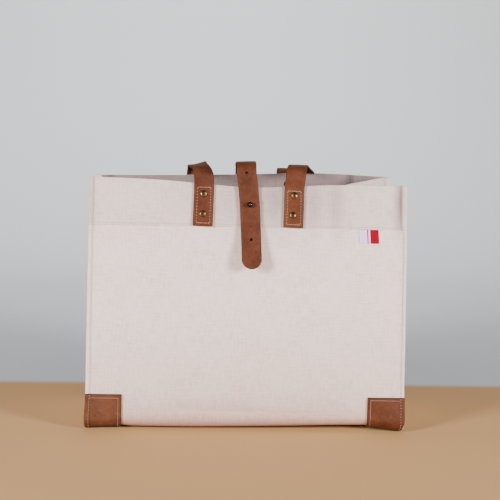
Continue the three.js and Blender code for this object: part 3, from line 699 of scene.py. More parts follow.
CLOSING_STRAP = (
    seat(FRONT, 2.7, 204.6, 18.5, 0),
    seat(FRONT, 2.75, 222, 13, 0),
    seat(FRONT, 2.2, 241, 8.4, 0),
    seat(FRONT, 1.2, 264, 5.2, 0),
    seat(FRONT, STUD_X, STUD_Z, AT_STUD, 0),
    seat(FRONT, -1.6, 303, 5, 0),
    free(-4.2, -57.2, 325.5, 1, 1),
    free(-4.4, -53.4, 334.4, 3, 3),
    free(-4.4, -44, 338, 4, 3),
    free(-3.2, 0, 336, 2, 2),
    free(-1, 40, 332.2, 1),
    free(0.4, 58, 328, 0),
    free(0.8, 66.2, 319.5, 0),
    seat(BACK, 0.9, 307, SEWN, 0),
    seat(BACK, 1, 286, SEWN, 0),
    seat(BACK, 1, 262, SEWN, 0),
)
# Rows of the closing strap that have a hole, and its radius
STRAP_HOLES = ((2, 2.1), (4, 2.25), (6, 2.1))
SECTION_STEP = 2.4
# The cross-section's bevels and the steps across it
STRAP_BEVEL = 0.85
STRAP_COLUMNS = 8
# A cut end: how far its bevel reaches, and the shares of width and thickness that it leaves
CUT_BEVEL = 0.5
CUT_END = (0.965, 0.72)
# The round tip: the angles between which its sections lie, their number, and where the even strap starts
TIP_ANGLES = (0.12, 1.5)
TIP_SECTIONS = 14
TIP_END = 1.02
# The drill for the holes
DRILL_SIDES = 20
DRILL_LENGTH = 8
DRILL_BEVEL = 0.3


def way_along(line):
    """The way along a line of points to each of them."""
    return np.concatenate([[0], np.linalg.norm(np.diff(line, axis=0), axis=1).cumsum()])


def along_line(at, way, values):
    """Values at a place, or at several, along a line."""
    return np.stack([np.interp(at, way, values[:, k]) for k in range(3)], axis=-1)


def strap_line(rows):
    """Sections along a strap: the way along it, its middle, its width and face directions and its curl."""
    points = np.array([row.point for row in rows])
    padded = np.vstack([2 * points[0] - points[1], points, 2 * points[-1] - points[-2]])
    middles, widths, faces, curls = [], [], [], []
    for k in range(len(points) - 1):
        lead, step, trail = np.diff(padded[k:k + 4], axis=0)
        knots = [np.linalg.norm(part) ** 0.5 for part in (lead, step, trail)]
        leave = lead / knots[0] - (lead + step) / (knots[0] + knots[1]) + step / knots[1]
        reach = step / knots[1] - (step + trail) / (knots[1] + knots[2]) + trail / knots[2]
        leave = leave * knots[1]
        reach = reach * knots[1]
        count = max(int(np.linalg.norm(step) / SECTION_STEP), 1)
        share = np.linspace(0, 1, count + 1)[:, None]
        if k < len(points) - 2:
            share = share[:-1]
        square = 3 * step - 2 * leave - reach
        cube = leave + reach - 2 * step
        middles.append(points[k] + leave * share + square * share ** 2 + cube * share ** 3)
        along = unit(leave + 2 * square * share + 3 * cube * share ** 2)
        here = np.array(rows[k][1:])
        after = np.array(rows[k + 1][1:])
        turn, tilt, curl = (here + (after - here) * share).T[..., None]
        turn, tilt = np.radians((turn, tilt))
        width = np.hstack([np.cos(turn), np.sin(turn), np.zeros(turn.shape)])
        width = unit(width - along * np.sum(width * along, axis=1, keepdims=True))
        width = width * np.cos(tilt) - np.cross(along, width) * np.sin(tilt)
        widths.append(width)
        faces.append(np.cross(along, width))
        curls.append(curl[:, 0])
    middle = np.vstack(middles)
    return Strap(way_along(middle), middle, np.vstack(widths), np.vstack(faces), np.concatenate(curls))


def on_strap(strap, run, across, above):
    """A point on a strap, across from its middle and above its middle plane, with the way out."""
    lines = (strap.middle, strap.width, strap.face)
    middle, width, face = (along_line(run, strap.run, line) for line in lines)
    out = -unit(face)
    across = np.asarray(across)
    toward_curl = np.clip(-across / (STRAP_WIDTH / 2), 0, 1)
    height = above + np.interp(run, strap.run, strap.curl) * toward_curl ** 2
    return middle + unit(width) * across[..., None] + out * height[..., None], out


def strap_profile(crown):
    """The cross-section of a strap, and the face group of the way from each point to the next."""
    half = STRAP_WIDTH / 2
    thick = STRAP_THICK / 2
    bend = STRAP_BEVEL * (1 - math.sqrt(0.5))
    flat = np.linspace(-1, 1, STRAP_COLUMNS + 1) * (half - STRAP_BEVEL)
    grain = [(across, -thick - crown * (1 - (across / half) ** 2)) for across in flat]
    edge = [
        (half - bend, bend - thick), (half, STRAP_BEVEL - thick),
        (half, thick - STRAP_BEVEL), (half - bend, thick - bend),
    ]
    flesh = [(across, thick) for across in flat[::-1]]
    other_edge = [(-across, -through) for across, through in edge]
    groups = np.repeat([0, 1, 2, 1], [STRAP_COLUMNS, len(edge) + 1] * 2)
    return np.array(grain + edge + flesh + other_edge), groups


def strap_piece(name, strap, crown, materials, tip=False):
    """Lofts a strap along its line. A tip is cut to a half round at the strap's start."""
    profile, profile_groups = strap_profile(crown)
    half = STRAP_WIDTH / 2
    size = len(profile)
    end = strap.run[-1]
    if tip:
        backs = half * (1 - np.cos(np.linspace(*TIP_ANGLES, TIP_SECTIONS)))
        sections = [(back, math.sqrt(1 - (1 - back / half) ** 2), 1) for back in backs]
        first = half * TIP_END
    else:
        sections = [(0, *CUT_END), (CUT_BEVEL, 1, 1)]
        first = 2 * CUT_BEVEL
    sections += [(run, 1, 1) for run in strap.run if first < run < end - 2 * CUT_BEVEL]
    sections += [(end - CUT_BEVEL, 1, 1), (end, *CUT_END)]
    points = []
    surface = []
    for run, narrow, thin in sections:
        across = profile[:, 0] * narrow
        ring, out = on_strap(strap, np.full(size, run), across, 0)
        points.append(ring - out * (profile[:, 1] * thin)[:, None])
        surface.append(np.stack([across + half, np.full(size, run)], axis=-1))
    index = np.arange(len(sections) * size).reshape(len(sections), size)
    after = np.roll(index, -1, axis=1)
    quads = np.stack([index[:-1], after[:-1], after[1:], index[1:]], axis=-1).reshape(-1, 4)
    faces = [*quads, index[0][::-1], index[-1]]
    groups = np.concatenate([np.tile(profile_groups, len(sections) - 1), [1, 1]])
    points = np.vstack(points)
    return new_piece(name, points, faces, groups, np.vstack(surface), materials, tint=leather_painted_light(points))


def cut_holes(piece, holes, material):
    """Cuts round holes through a strap with a bevelled drill."""
    for point, out, radius in holes:
        deselect_all()
        size = {"radius": radius * MM, "depth": DRILL_LENGTH * MM}
        bpy.ops.mesh.primitive_cylinder_add(vertices=DRILL_SIDES, **size)
        drill = bpy.context.object
        bpy.ops.object.mode_set(mode="EDIT")
        bpy.ops.mesh.select_all(action="SELECT")
        bpy.ops.mesh.bevel(offset=DRILL_BEVEL * MM, segments=1)
        bpy.ops.object.mode_set(mode="OBJECT")
        drill.data.transform(standing(point, out))
        drill.data.materials.append(material)
        select_only(piece)
        cutter = piece.modifiers.new("hole", "BOOLEAN")
        cutter.object = drill
        cutter.operation = "DIFFERENCE"
        cutter.solver = "EXACT"
        cutter.material_mode = "TRANSFER"
        bpy.ops.object.modifier_apply(modifier=cutter.name)
        bpy.data.objects.remove(drill)


def standing(point, out):
    """Stands a piece that was made along +Z on a point in millimetres, along an axis."""
    turn = Vector((0, 0, 1)).rotation_difference(Vector(out)).to_matrix().to_4x4()
    return Matrix.Translation(Vector(point) * MM) @ turn


def turned(name, profile, sides, smooth_angle=38):
    """Turns a piece along +Z: a disc is extruded ring by ring, each sized to the profile's radius."""
    deselect_all()
    radius, height = profile[0]
    bpy.ops.mesh.primitive_circle_add(vertices=sides, radius=radius * MM, fill_type="NGON")
    piece = bpy.context.object
    piece.name = name
    bpy.ops.object.mode_set(mode="EDIT")
    bpy.ops.mesh.select_all(action="SELECT")
    bpy.ops.transform.translate(value=(0, 0, height * MM))
    for new_radius, new_height in profile[1:]:
        step = (0, 0, (new_height - height) * MM)
        bpy.ops.mesh.extrude_region_move(TRANSFORM_OT_translate={"value": step})
        ratio = new_radius / radius
        bpy.ops.transform.resize(value=(ratio, ratio, 1), center_override=(0, 0, new_height * MM))
        radius, height = new_radius, new_height
    bpy.ops.mesh.select_all(action="SELECT")
    bpy.ops.mesh.normals_make_consistent(inside=False)
    bpy.ops.object.mode_set(mode="OBJECT")
    bpy.ops.object.shade_smooth_by_angle(angle=math.radians(smooth_angle))
    return piece


# Stitches

# A stitch's two bends along its length, how far it bows in shares of its thickness, and how the thread's
# section swells between the bends and shrinks at the ends
STITCH_BENDS = (-0.25, 0.25)
STITCH_BOW = 0.3
STITCH_MIDDLE = (1, 1.15, 1.1)
STITCH_ENDS = (1, 0.7, 0.7)
# How far to both sides of a stitch its run's direction is measured
STITCH_REACH = 0.6


def stitch_shape(thick, stitch):
    """One stitch along X: a thread that bows up between the two holes that it goes into."""
    deselect_all()
    sideways = (0, math.pi / 2, 0)
    bpy.ops.mesh.primitive_cylinder_add(vertices=6, radius=thick / 2, depth=stitch, rotation=sideways)
    piece = bpy.context.object
    bpy.ops.object.transform_apply(rotation=True)
    bpy.ops.object.mode_set(mode="EDIT")
    for bend in STITCH_BENDS:
        bpy.ops.mesh.select_all(action="SELECT")
        bpy.ops.mesh.bisect(plane_co=(bend * stitch, 0, 0), plane_no=(1, 0, 0))
    bpy.ops.mesh.select_all(action="DESELECT")
    bow = thick * STITCH_BOW
    for ends, rise, size in ((False, bow, STITCH_MIDDLE), (True, -bow, STITCH_ENDS)):
        bpy.ops.object.mode_set(mode="OBJECT")
        for vertex in piece.data.vertices:
            vertex.select = (abs(vertex.co.x) > 0.3 * stitch) == ends
        bpy.ops.object.mode_set(mode="EDIT")
        bpy.ops.transform.translate(value=(0, 0, rise))
        bpy.ops.transform.resize(value=size, center_override=(0, 0, rise))
    bpy.ops.object.mode_set(mode="OBJECT")
    points = np.array([vertex.co[:] for vertex in piece.data.vertices])
    faces = [list(face.vertices) for face in piece.data.polygons]
    bpy.data.objects.remove(piece)
    return points, faces


# Kinds of stitch, in shares of the thread's thickness and of the usual pitch
Stitch = namedtuple("Stitch", "thick pitch fill slant")
SPACED = Stitch(0.9, 1.4, 0.38, 0.1)
CLOSE = Stitch(0.85, 1, 0.74, 0.05)
FINE = Stitch(0.5, 0.9, 0.8, 0.05)
SLANTED = Stitch(0.95, 1, 0.72, 0.35)
HEMMED = Stitch(1, 1, 0.75, 0.05)


def sew(name, runs, thick, pitch, material):
    """Copies stitches along runs of points in millimetres, each with the ways out and the kind of stitch."""
    shapes = {}
    points = []
    faces = []
    start = 0
    for line, out, kind in runs:
        if kind not in shapes:
            shapes[kind] = stitch_shape(thick * kind.thick, pitch * kind.pitch * kind.fill)
        stitch, stitch_faces = shapes[kind]
        way = way_along(line)
        count = max(int(round(way[-1] * MM / (pitch * kind.pitch))), 1)
        for k in range(count):
            at = (k + 0.5) * way[-1] / count
            steps = (-STITCH_REACH, 0, STITCH_REACH)
            behind, middle, ahead = (along_line(at + step, way, line) for step in steps)
            up = unit(along_line(at, way, out))
            along = ahead - behind
            along = unit(along - up * along.dot(up))
            along = unit(along + np.cross(up, along) * kind.slant)
            points.append(middle + stitch / MM @ np.stack([along, np.cross(up, along), up]))
            faces += [[start + corner for corner in face] for face in stitch_faces]
            start += len(stitch)
    points = np.concatenate(points)
    return new_piece(name, points, faces, np.zeros(len(faces)), points[:, [0, 2]], [material], 60)


def polyline(*corners, step=2.0):
    """Points every few millimetres along straight lines between corners of any number of columns."""
    corners = np.array(corners, float)
    points = []
    for start, end in zip(corners, corners[1:]):
        count = max(int(np.abs(end - start).max() / step), 2)
        points.append(start + (end - start) * np.linspace(0, 1, count, endpoint=False)[:, None])
    return np.vstack([*points, corners[-1:]])


# Materials


# The output and the type of a mix node that mixes colours, whose inputs are 0, 6 and 7
COLOURS = {"output": 2, "data_type": "RGBA"}
RIB_SHADE = (0.86, 0.86, 0.88, 1)
# Where the ribbon's colours change, across its width
RIBBON_STRIPES = (0, 0.44, 0.54, 0.6)


def plug(tree, node, inputs):
    """Sets a node's inputs. An input is linked where its value is another node's output."""
    for socket, value in inputs.items():
        if isinstance(value, bpy.types.NodeSocket):
            tree.links.new(value, node.inputs[socket])
        else:
            node.inputs[socket].default_value = value


def add_node(tree, kind, inputs, output=0, **settings):
    """Adds a node with its settings and links, and gives one of its outputs."""
    node = tree.nodes.new(kind)
    for key, value in settings.items():
        setattr(node, key, value)
    plug(tree, node, inputs)
    return node.outputs[output]


def begin_material(name):
    """A new material, with its nodes and its bare shader."""
    material = bpy.data.materials.new(name)
    material.use_nodes = True
    return material, material.node_tree, material.node_tree.nodes["Principled BSDF"]


def scaled(tone, share):
    """A colour made darker or lighter."""
    return (*(min(share * channel, 1) for channel in tone[:3]), 1)


def per_size(millimetres):
    """The scale of a noise whose lumps are about this size."""
    return 1 / (millimetres * MM)


def per_wave(millimetres):
    """The scale of a wave texture whose bands are this far apart."""
    return 2 * math.pi / 20 / (millimetres * MM)


def tinted(tree, tone):
    """A tone dimmed, lightened or warmed by the piece's own tint, which carries painted light and shade."""
    tint = add_node(tree, "ShaderNodeVertexColor", {}, layer_name="tint")
    return add_node(tree, "ShaderNodeMix", {0: 1, 6: tone, 7: tint}, blend_type="MULTIPLY", **COLOURS)


def canvas_material(name, look):
    """Natural cotton duck: a tight plain weave of thick undyed yarn, matt, with slubs and seed flecks."""
    material, tree, shader = begin_material(name)
    place = add_node(tree, "ShaderNodeUVMap", {}, uv_map="surface")
    # Real yarns lie about 0.7 mm apart, too fine to show, so they are drawn at about twice that.
    # Slubs are thicker lengths of yarn. They are long and thin, in the warp and in the weft.
    yarns = []
    slubs = []
    for bands, closer, stretch in (("X", 1, (1, 0.16, 1)), ("Y", 0.92, (0.16, 1, 1))):
        scale = per_wave(look.yarn / MM * closer)
        inputs = {"Vector": place, "Scale": scale, "Distortion": 1.6, "Detail": 2, "Detail Scale": 0.6}
        yarns.append(add_node(tree, "ShaderNodeTexWave", inputs, "Fac", bands_direction=bands))
        along = add_node(tree, "ShaderNodeMapping", {"Vector": place, "Scale": stretch})
        inputs = {"Vector": along, "Scale": per_size(2.2), "Detail": 2}
        slubs.append(add_node(tree, "ShaderNodeTexNoise", inputs, "Fac"))
    weave = add_node(tree, "ShaderNodeMath", {0: yarns[0], 1: yarns[1]}, operation="MULTIPLY")
    lumps = add_node(tree, "ShaderNodeMath", {0: slubs[0], 1: slubs[1]}, operation="ADD")
    inputs = {"Vector": place, "Scale": per_size(38), "Detail": 4, "Roughness": 0.6}
    clouds = add_node(tree, "ShaderNodeTexNoise", inputs, "Fac")
    inputs = {"Value": lumps, "From Min": 0.8, "From Max": 1.25, "To Min": 0.75, "To Max": 0}
    dull = add_node(tree, "ShaderNodeMapRange", inputs)
    shade = add_node(tree, "ShaderNodeMath", {0: dull, 1: clouds, 2: -0.08}, operation="MULTIPLY_ADD")
    tone = add_node(tree, "ShaderNodeMix", {0: shade, 6: look.pale, 7: look.dull}, **COLOURS)
    inputs = {"Vector": place, "Scale": per_size(2.6), "Detail": 1}
    flecks = add_node(tree, "ShaderNodeTexNoise", inputs, "Fac")
    inputs = {"Value": flecks, "From Min": 0.74, "From Max": 0.8, "To Max": 0.55}
    seed = add_node(tree, "ShaderNodeMapRange", inputs)
    specked = add_node(tree, "ShaderNodeMix", {0: seed, 6: tone, 7: look.fleck}, **COLOURS)
    height = add_node(tree, "ShaderNodeMath", {0: weave, 1: 0.5, 2: lumps}, operation="MULTIPLY_ADD")
    bump = add_node(tree, "ShaderNodeBump", {"Height": height, "Strength": 0.32, "Distance": 0.35 * MM})
    plug(tree, shader, {
        "Base Color": tinted(tree, specked),
        "Roughness": 0.92,
        "Specular IOR Level": 0.18,
        "Sheen Weight": 0.12,
        "Sheen Roughness": 0.6,
        "Normal": bump,
    })
    return material


def leather_material(name, look):
    """Oiled vegetable-tanned leather: a soft low gloss, cloudy dye, fine pores and paler rubbed places."""
    material, tree, shader = begin_material(name)
    place = add_node(tree, "ShaderNodeTexCoord", {}, "Object")
    noises = []
    for lump, detail, roughness in ((24, 5, 0.62), (3.4, 3, 0.65), (9, 6, 0.7)):
        inputs = {"Vector": place, "Scale": per_size(lump), "Detail": detail, "Roughness": roughness}
        noises.append(add_node(tree, "ShaderNodeTexNoise", inputs, "Fac"))
    clouds, fine, rubbed = noises
    mixed = add_node(tree, "ShaderNodeMath", {0: fine, 1: 0.55, 2: clouds}, operation="MULTIPLY_ADD")
    handled_and_shaded = add_node(tree, "ShaderNodeMapRange", {"Value": mixed, "From Min": 0.58, "From Max": 0.92})
    dyed = add_node(tree, "ShaderNodeMix", {0: handled_and_shaded, 6: look.dark, 7: look.tan}, **COLOURS)
    inputs = {"Value": rubbed, "From Min": 0.54, "From Max": 0.78, "To Max": 0.5}
    rub_and_light = add_node(tree, "ShaderNodeMapRange", inputs)
    worn = add_node(tree, "ShaderNodeMix", {0: rub_and_light, 6: dyed, 7: look.scuffed}, **COLOURS)
    inputs = {"Value": mixed, "From Min": 0.55, "From Max": 0.95, "To Min": 0.5, "To Max": 0.68}
    gloss = add_node(tree, "ShaderNodeMapRange", inputs)
    # Pores of about 0.4 mm would not show, so they are drawn about three times as far apart
    inputs = {"Vector": place, "Scale": per_size(look.pore / MM)}
    pores = add_node(tree, "ShaderNodeTexVoronoi", inputs, "Distance", feature="SMOOTH_F1")
    height = add_node(tree, "ShaderNodeMath", {0: fine, 1: 1.4, 2: pores}, operation="MULTIPLY_ADD")
    bump = add_node(tree, "ShaderNodeBump", {"Height": height, "Strength": 0.3, "Distance": 0.4 * MM})
    plug(tree, shader, {
        "Base Color": tinted(tree, worn),
        "Roughness": gloss,
        "Specular IOR Level": 0.24,
        "Normal": bump,
    })
    return material


def rough_leather_material(name, tone, grit, gloss):
    """The cut edge or the flesh side of the hide: open fibre, matt, with a nap that breaks up the colour."""
    material, tree, shader = begin_material(name)
    place = add_node(tree, "ShaderNodeTexCoord", {}, "Object")
    inputs = {"Vector": place, "Scale": per_size(grit), "Detail": 5, "Roughness": 0.75}
    nap = add_node(tree, "ShaderNodeTexNoise", inputs, "Fac")
    inputs = {0: nap, 6: scaled(tone, 0.62), 7: scaled(tone, 1.3)}
    fibres = add_node(tree, "ShaderNodeMix", inputs, **COLOURS)
    bump = add_node(tree, "ShaderNodeBump", {"Height": nap, "Strength": 0.5, "Distance": 0.5 * MM})
    plug(tree, shader, {
        "Base Color": tinted(tree, fibres),
        "Roughness": gloss,
        "Specular IOR Level": 0.2,
        "Normal": bump,
    })
    return material


def brass_material(name, bright, tarnish, rough):
    """Antiqued brass: cast and tumbled, bright where it is rubbed and brown where the tarnish stays."""
    material, tree, shader = begin_material(name)
    place = add_node(tree, "ShaderNodeTexCoord", {}, "Object")
    inputs = {"Vector": place, "Scale": per_size(3), "Detail": 5, "Roughness": 0.7}
    patches = add_node(tree, "ShaderNodeTexNoise", inputs, "Fac")
    worn = add_node(tree, "ShaderNodeMapRange", {"Value": patches, "From Min": 0.36, "From Max": 0.66})
    tone = add_node(tree, "ShaderNodeMix", {0: worn, 6: tarnish, 7: bright}, **COLOURS)
    gloss = add_node(tree, "ShaderNodeMapRange", {"Value": worn, "To Min": rough + 0.16, "To Max": rough})
    bump = add_node(tree, "ShaderNodeBump", {"Height": patches, "Strength": 0.12, "Distance": 0.2 * MM})
    plug(tree, shader, {"Base Color": tone, "Metallic": 1, "Roughness": gloss, "Normal": bump})
    return material


def thread_material(name, tone):
    """Waxed linen thread: plied, with a faint lustre, and painted shade between the plies."""
    material, tree, shader = begin_material(name)
    place = add_node(tree, "ShaderNodeTexCoord", {}, "Object")
    # Plies of 0.4 mm are drawn at 0.6 mm so that they show, with painted shade between them
    inputs = {"Vector": place, "Scale": per_wave(0.6), "Distortion": 2}
    plies = add_node(tree, "ShaderNodeTexWave", inputs, "Fac", bands_direction="DIAGONAL")
    ply_shade = add_node(tree, "ShaderNodeMix", {0: plies, 6: scaled(tone, 0.8), 7: tone}, **COLOURS)
    plug(tree, shader, {"Base Color": ply_shade, "Roughness": 0.7, "Specular IOR Level": 0.3})
    return material


def ribbon_material(name, look):
    """Woven polyester ribbon: fine ribs across, a slight silky lustre, and stripes in the warp."""
    material, tree, shader = begin_material(name)
    place = add_node(tree, "ShaderNodeUVMap", {}, uv_map="surface")
    across = add_node(tree, "ShaderNodeSeparateXYZ", {"Vector": place}, "X")
    inputs = {"Vector": place, "Scale": per_wave(0.9)}
    ribs = add_node(tree, "ShaderNodeTexWave", inputs, "Fac", bands_direction="Y")
    inputs = {"Value": across, "From Max": (LABEL_RIGHT - LABEL_LEFT) * MM}
    bands = add_node(tree, "ShaderNodeMapRange", inputs)
    stripes = add_node(tree, "ShaderNodeValToRGB", {"Fac": bands})
    ramp = stripes.node.color_ramp
    ramp.interpolation = "CONSTANT"
    while len(ramp.elements) < len(RIBBON_STRIPES):
        ramp.elements.new(1)
    for k, position in enumerate(RIBBON_STRIPES):
        ramp.elements[k].position = position
        ramp.elements[k].color = look.ribbon if k % 2 else look.stripe
    inputs = {0: ribs, 6: stripes, 7: RIB_SHADE}
    woven = add_node(tree, "ShaderNodeMix", inputs, blend_type="MULTIPLY", **COLOURS)
    bump = add_node(tree, "ShaderNodeBump", {"Height": ribs, "Strength": 0.3, "Distance": 0.2 * MM})
    plug(tree, shader, {"Base Color": woven, "Roughness": 0.8, "Specular IOR Level": 0.04, "Normal": bump})
    return material


def finish_of(make, name, *arguments):
    """A material by its name, made where it isn't there yet."""
    return bpy.data.materials.get(name) or make(name, *arguments)


def leathers(context):
    """The grain side, flesh side and cut edge of the straps."""
    look = context.scene.tote_leather
    return (
        finish_of(leather_material, "oiled_leather", look),
        finish_of(rough_leather_material, "leather_flesh_side", look.flesh, 1.6, 0.95),
        finish_of(rough_leather_material, "leather_cut_edge", look.cut, 1.0, 0.7),
    )


# Pieces


# Columns of the canvas from its right edge: close together at both edges and even between
EDGE_COLUMNS = np.array([0, 1.2, 2.6, 4, 5.4, 6.6, 7.6, 8.6, 9.8, 11.4, 13.5, 16.5, 20])
EVEN_COLUMNS = np.linspace(20, WIDTH - 20, 93)[1:-1]
CANVAS_US = to_u(np.concatenate([EDGE_COLUMNS, EVEN_COLUMNS, WIDTH - EDGE_COLUMNS[::-1]]))
# How far the rounded edges of the body, the side walls and the patches stand out
BODY_BEAD = 0.5
SIDE_BEAD = 0.4
PATCH_BEAD = 0.35


class TOTE_OT_body(bpy.types.Operator):
    """Hang the long strip of canvas that makes the front, the base and the back"""

    bl_idname = "tote.body"
    bl_label = "Canvas body"

    def execute(self, context):
        drops = [half_drops(panel, CANVAS_US) for panel in (FRONT, BACK)]
        front = strip_point(FRONT, drops[0], CANVAS_US)
        back = strip_point(BACK, drops[1], CANVAS_US)
        offsets = outer_offsets()
        grid = np.concatenate([front, back[::-1][1:]])
        outer = np.concatenate([offsets, offsets[::-1][1:]])[:, None]
        look = context.scene.tote_canvas
        canvas = finish_of(canvas_material, "natural_cotton_duck", look)
        parts = wall(grid, outer, -CLOTH / 2, BODY_BEAD)
        tint = canvas_painted_shade(look, parts[0], within_of(grid, parts[0]))
        piece = new_piece("canvas_body", *parts, [canvas] * 3, tint=tint)
        settle(piece, "canvas", "body_canvas")
        return {"FINISHED"}


class TOTE_OT_sides(bpy.types.Operator):
    """Sew in the two side walls, whose middles fold into the bag"""

    bl_idname = "tote.sides"
    bl_label = "Side walls"

    def execute(self, context):
        look = context.scene.tote_canvas
        canvas = finish_of(canvas_material, "natural_cotton_duck", look)
        for side in SIDES:
            grid = side_grid(side)
            if side.toward < 0:
                grid = grid[:, ::-1]
            points, faces, groups, surface = wall(grid[::-1], -CLOTH / 2, CLOTH / 2, SIDE_BEAD)
            tint = canvas_painted_shade(look, points, SIDE_WITHIN * within_of(grid, points))
            name = "canvas_side_" + side.name
            piece = new_piece(name, points, faces[:, ::-1], groups, surface, [canvas] * 3, tint=tint)
            settle(piece, "canvas", "side_" + side.name)
        return {"FINISHED"}


# A side wall's seam edges: how far they stay off the strip's middle layer and stand out past its edge
SIDE_CLEAR = CLOTH + GAP + 0.1
SIDE_LIP = 0.5
# The soft waves in the side walls
SIDE_WAVE = 0.5


def side_crease(distance):
    """A rounded fold: straight away from the middle, soft within it."""
    return np.hypot(distance, SIDE_CREASE) - SIDE_CREASE


def side_grid(side):
    """Points of a side wall, row by row from its foot: seam edge, wall and seam edge."""
    lips = []
    for from_edge in (-SIDE_LIP, SEAM):
        us = np.array([side.toward * to_u(from_edge)])
        halves = []
        for panel in (FRONT, BACK):
            point, out = strip_frame(panel, half_drops(panel, us)[:, 0], us[0])
            halves.append(point - out * SIDE_CLEAR)
        lips.append(np.concatenate([halves[0], halves[1][::-1][1:]]))
    edge, root = lips
    last = len(root) - 1
    foot = root[CORNER_ROW:last - CORNER_ROW + 1]
    share = (foot[:, 1] - foot[0, 1]) / (foot[-1, 1] - foot[0, 1])
    crease = 1 - side_crease(np.abs(2 * share - 1)) / side_crease(1)
    rim = root[0, 2] + (root[last, 2] - root[0, 2]) * share - side.dip * crease ** side.dip_power
    rows = []
    for level in range(CORNER_ROW, -1, -1):
        front = root[level]
        back = root[last - level]
        front_rise = (front[2] - foot[0, 2]) / (root[0, 2] - foot[0, 2])
        back_rise = (back[2] - foot[0, 2]) / (root[last, 2] - foot[0, 2])
        rise = front_rise + (back_rise - front_rise) * share
        half_open = (back[1] - front[1]) / 2
        fold_in = math.sqrt(max((DEPTH / 2 - SIDE_CLEAR) ** 2 - half_open ** 2, 0))
        z = foot[:, 2] + (rim - foot[:, 2]) * rise
        waves = SIDE_WAVE * np.sin(z / 31 + 5 * share) * np.sin(9 * share + z / 70) * crease
        x = front[0] + (back[0] - front[0]) * share - side.toward * (fold_in * crease + waves)
        y = front[1] + (back[1] - front[1]) * share
        rows.append(np.vstack([edge[level], np.stack([x, y, z], axis=-1), edge[last - level]]))
    under = edge[CORNER_ROW:last - CORNER_ROW + 1]
    foot_row = np.vstack([under[:1], under, under[-1:]])
    foot_row[1] = (foot_row[1] + foot_row[2]) / 2
    foot_row[-2] = (foot_row[-2] + foot_row[-3]) / 2
    rows[0][0] = (rows[0][0] + rows[1][0]) / 2
    rows[0][-1] = (rows[0][-1] + rows[1][-1]) / 2
    return np.stack([foot_row, *rows])


# What the patches of each side have beyond the part's: their width, the drop at which they start, how far
# their outer edge swells out, and how far their lower corner is cut back, from which drop on
PatchCut = namedtuple("PatchCut", "width top swell corner corner_from")
PATCH_CUTS = {
    -1: PatchCut(PATCH_WIDTH - 0.5, -1.9, 1.1, 1.6, FOOT_RISE + 9),
    1: PatchCut(PATCH_WIDTH + 1.3, -0.6, 0.1, 4.6, FOOT_RISE - 2),
}
# How far the stitches of a patch lie from its top, its inner edge, and the bag's edge above, lower and under
PatchSeam = namedtuple("PatchSeam", "top inner flange low foot")
PATCH_SEAMS = {-1: PatchSeam(2.9, 4.2, 4.5, 2.9, 3.4), 1: PatchSeam(3.2, 3.9, 4.2, 4.2, 6.2)}
PATCHES = (
    ("front_left", FRONT, -1), ("front_right", FRONT, 1), ("back_left", BACK, -1), ("back_right", BACK, 1),
)
# How far a patch reaches past the canvas, the drop at which it starts to swell, and its soft padding
PATCH_OVER = 0.6
PATCH_SWELL_FROM = 4
PATCH_PUFF = 0.4
PATCH_SKIN = PATCH_THICK - 0.05
# How dark a patch is painted: painted shade in its seam's furrow, burnished edges with painted shade along
# them, painted shade at the floor, and how wide these are
FURROW_SHADE = 0.35
FURROW_WIDE = 1.5
BURNISH_SHADE = 0.45
BURNISH_WIDE = 2
BURNISH_TALL = 1.8
FOOT_SHADE = 0.8
FOOT_SHADE_FROM = FOOT_RISE + 12


def patch_edge(side, drop):
    """How far a patch's outer edge lies in from the canvas edge. The right ones have a round corner."""
    cut = PATCH_CUTS[side]
    swell = cut.swell * smooth(drop, PATCH_SWELL_FROM, FOOT_RISE)
    return cut.corner * smooth(drop, cut.corner_from, BASE_DROP) - swell - PATCH_OVER


def patch_shade(side, drops, from_edge):
    """How dark a patch is: burnished at its top and inner edge with painted shade there, and painted shade
    in its seam's furrow and at the floor.
    """
    cut = PATCH_CUTS[side]
    furrow = bell(from_edge - PATCH_SEAMS[side].flange, FURROW_WIDE)
    inner = smooth(from_edge, cut.width - BURNISH_WIDE, cut.width)
    top = 1 - smooth(drops, cut.top, cut.top + BURNISH_TALL)
    foot = smooth(drops, FOOT_SHADE_FROM, BASE_DROP)
    edges = 1 - BURNISH_SHADE * np.maximum(inner, top)
    return (1 - FURROW_SHADE * furrow) * edges * (1 - FOOT_SHADE * foot)


class TOTE_OT_patches(bpy.types.Operator):
    """Wrap the leather patches round the bottom corners"""

    bl_idname = "tote.patches"
    bl_label = "Corner patches"

    def execute(self, context):
        grain, flesh, cut = leathers(context)
        share = np.linspace(0, 1, 22)[None, :]
        for name, panel, side in PATCHES:
            drops = np.concatenate([
                np.linspace(PATCH_CUTS[side].top, FOOT_RISE, 16),
                FOOT_RISE + FOLD_LENGTH * np.linspace(0, 1, 12)[1:],
                np.linspace(BASE_DROP, PATCH_DROP, 14)[1:],
            ])[:, None]
            trim = patch_edge(side, drops)
            from_edge = trim + (PATCH_CUTS[side].width - trim) * share
            grid = strip_point(panel, drops, side * to_u(from_edge))
            shade = patch_shade(side, drops, from_edge)
            if side * panel.facing > 0:
                grid = grid[:, ::-1]
                shade = shade[:, ::-1]
            puff = PATCH_PUFF * np.sin(np.pi * share) * np.sin(np.pi * np.clip(drops / FOOT_RISE, 0, 1))
            parts = wall(grid, PATCH_OUT + PATCH_SKIN + puff, PATCH_OUT, PATCH_BEAD)
            tint = leather_painted_light(parts[0])
            tint[:shade.size, :3] *= shade.reshape(-1, 1)
            piece = new_piece("leather_patch_" + name, *parts, [grain, flesh, cut], tint=tint)
            settle(piece, "leather", "corner_patch_" + name)
        return {"FINISHED"}


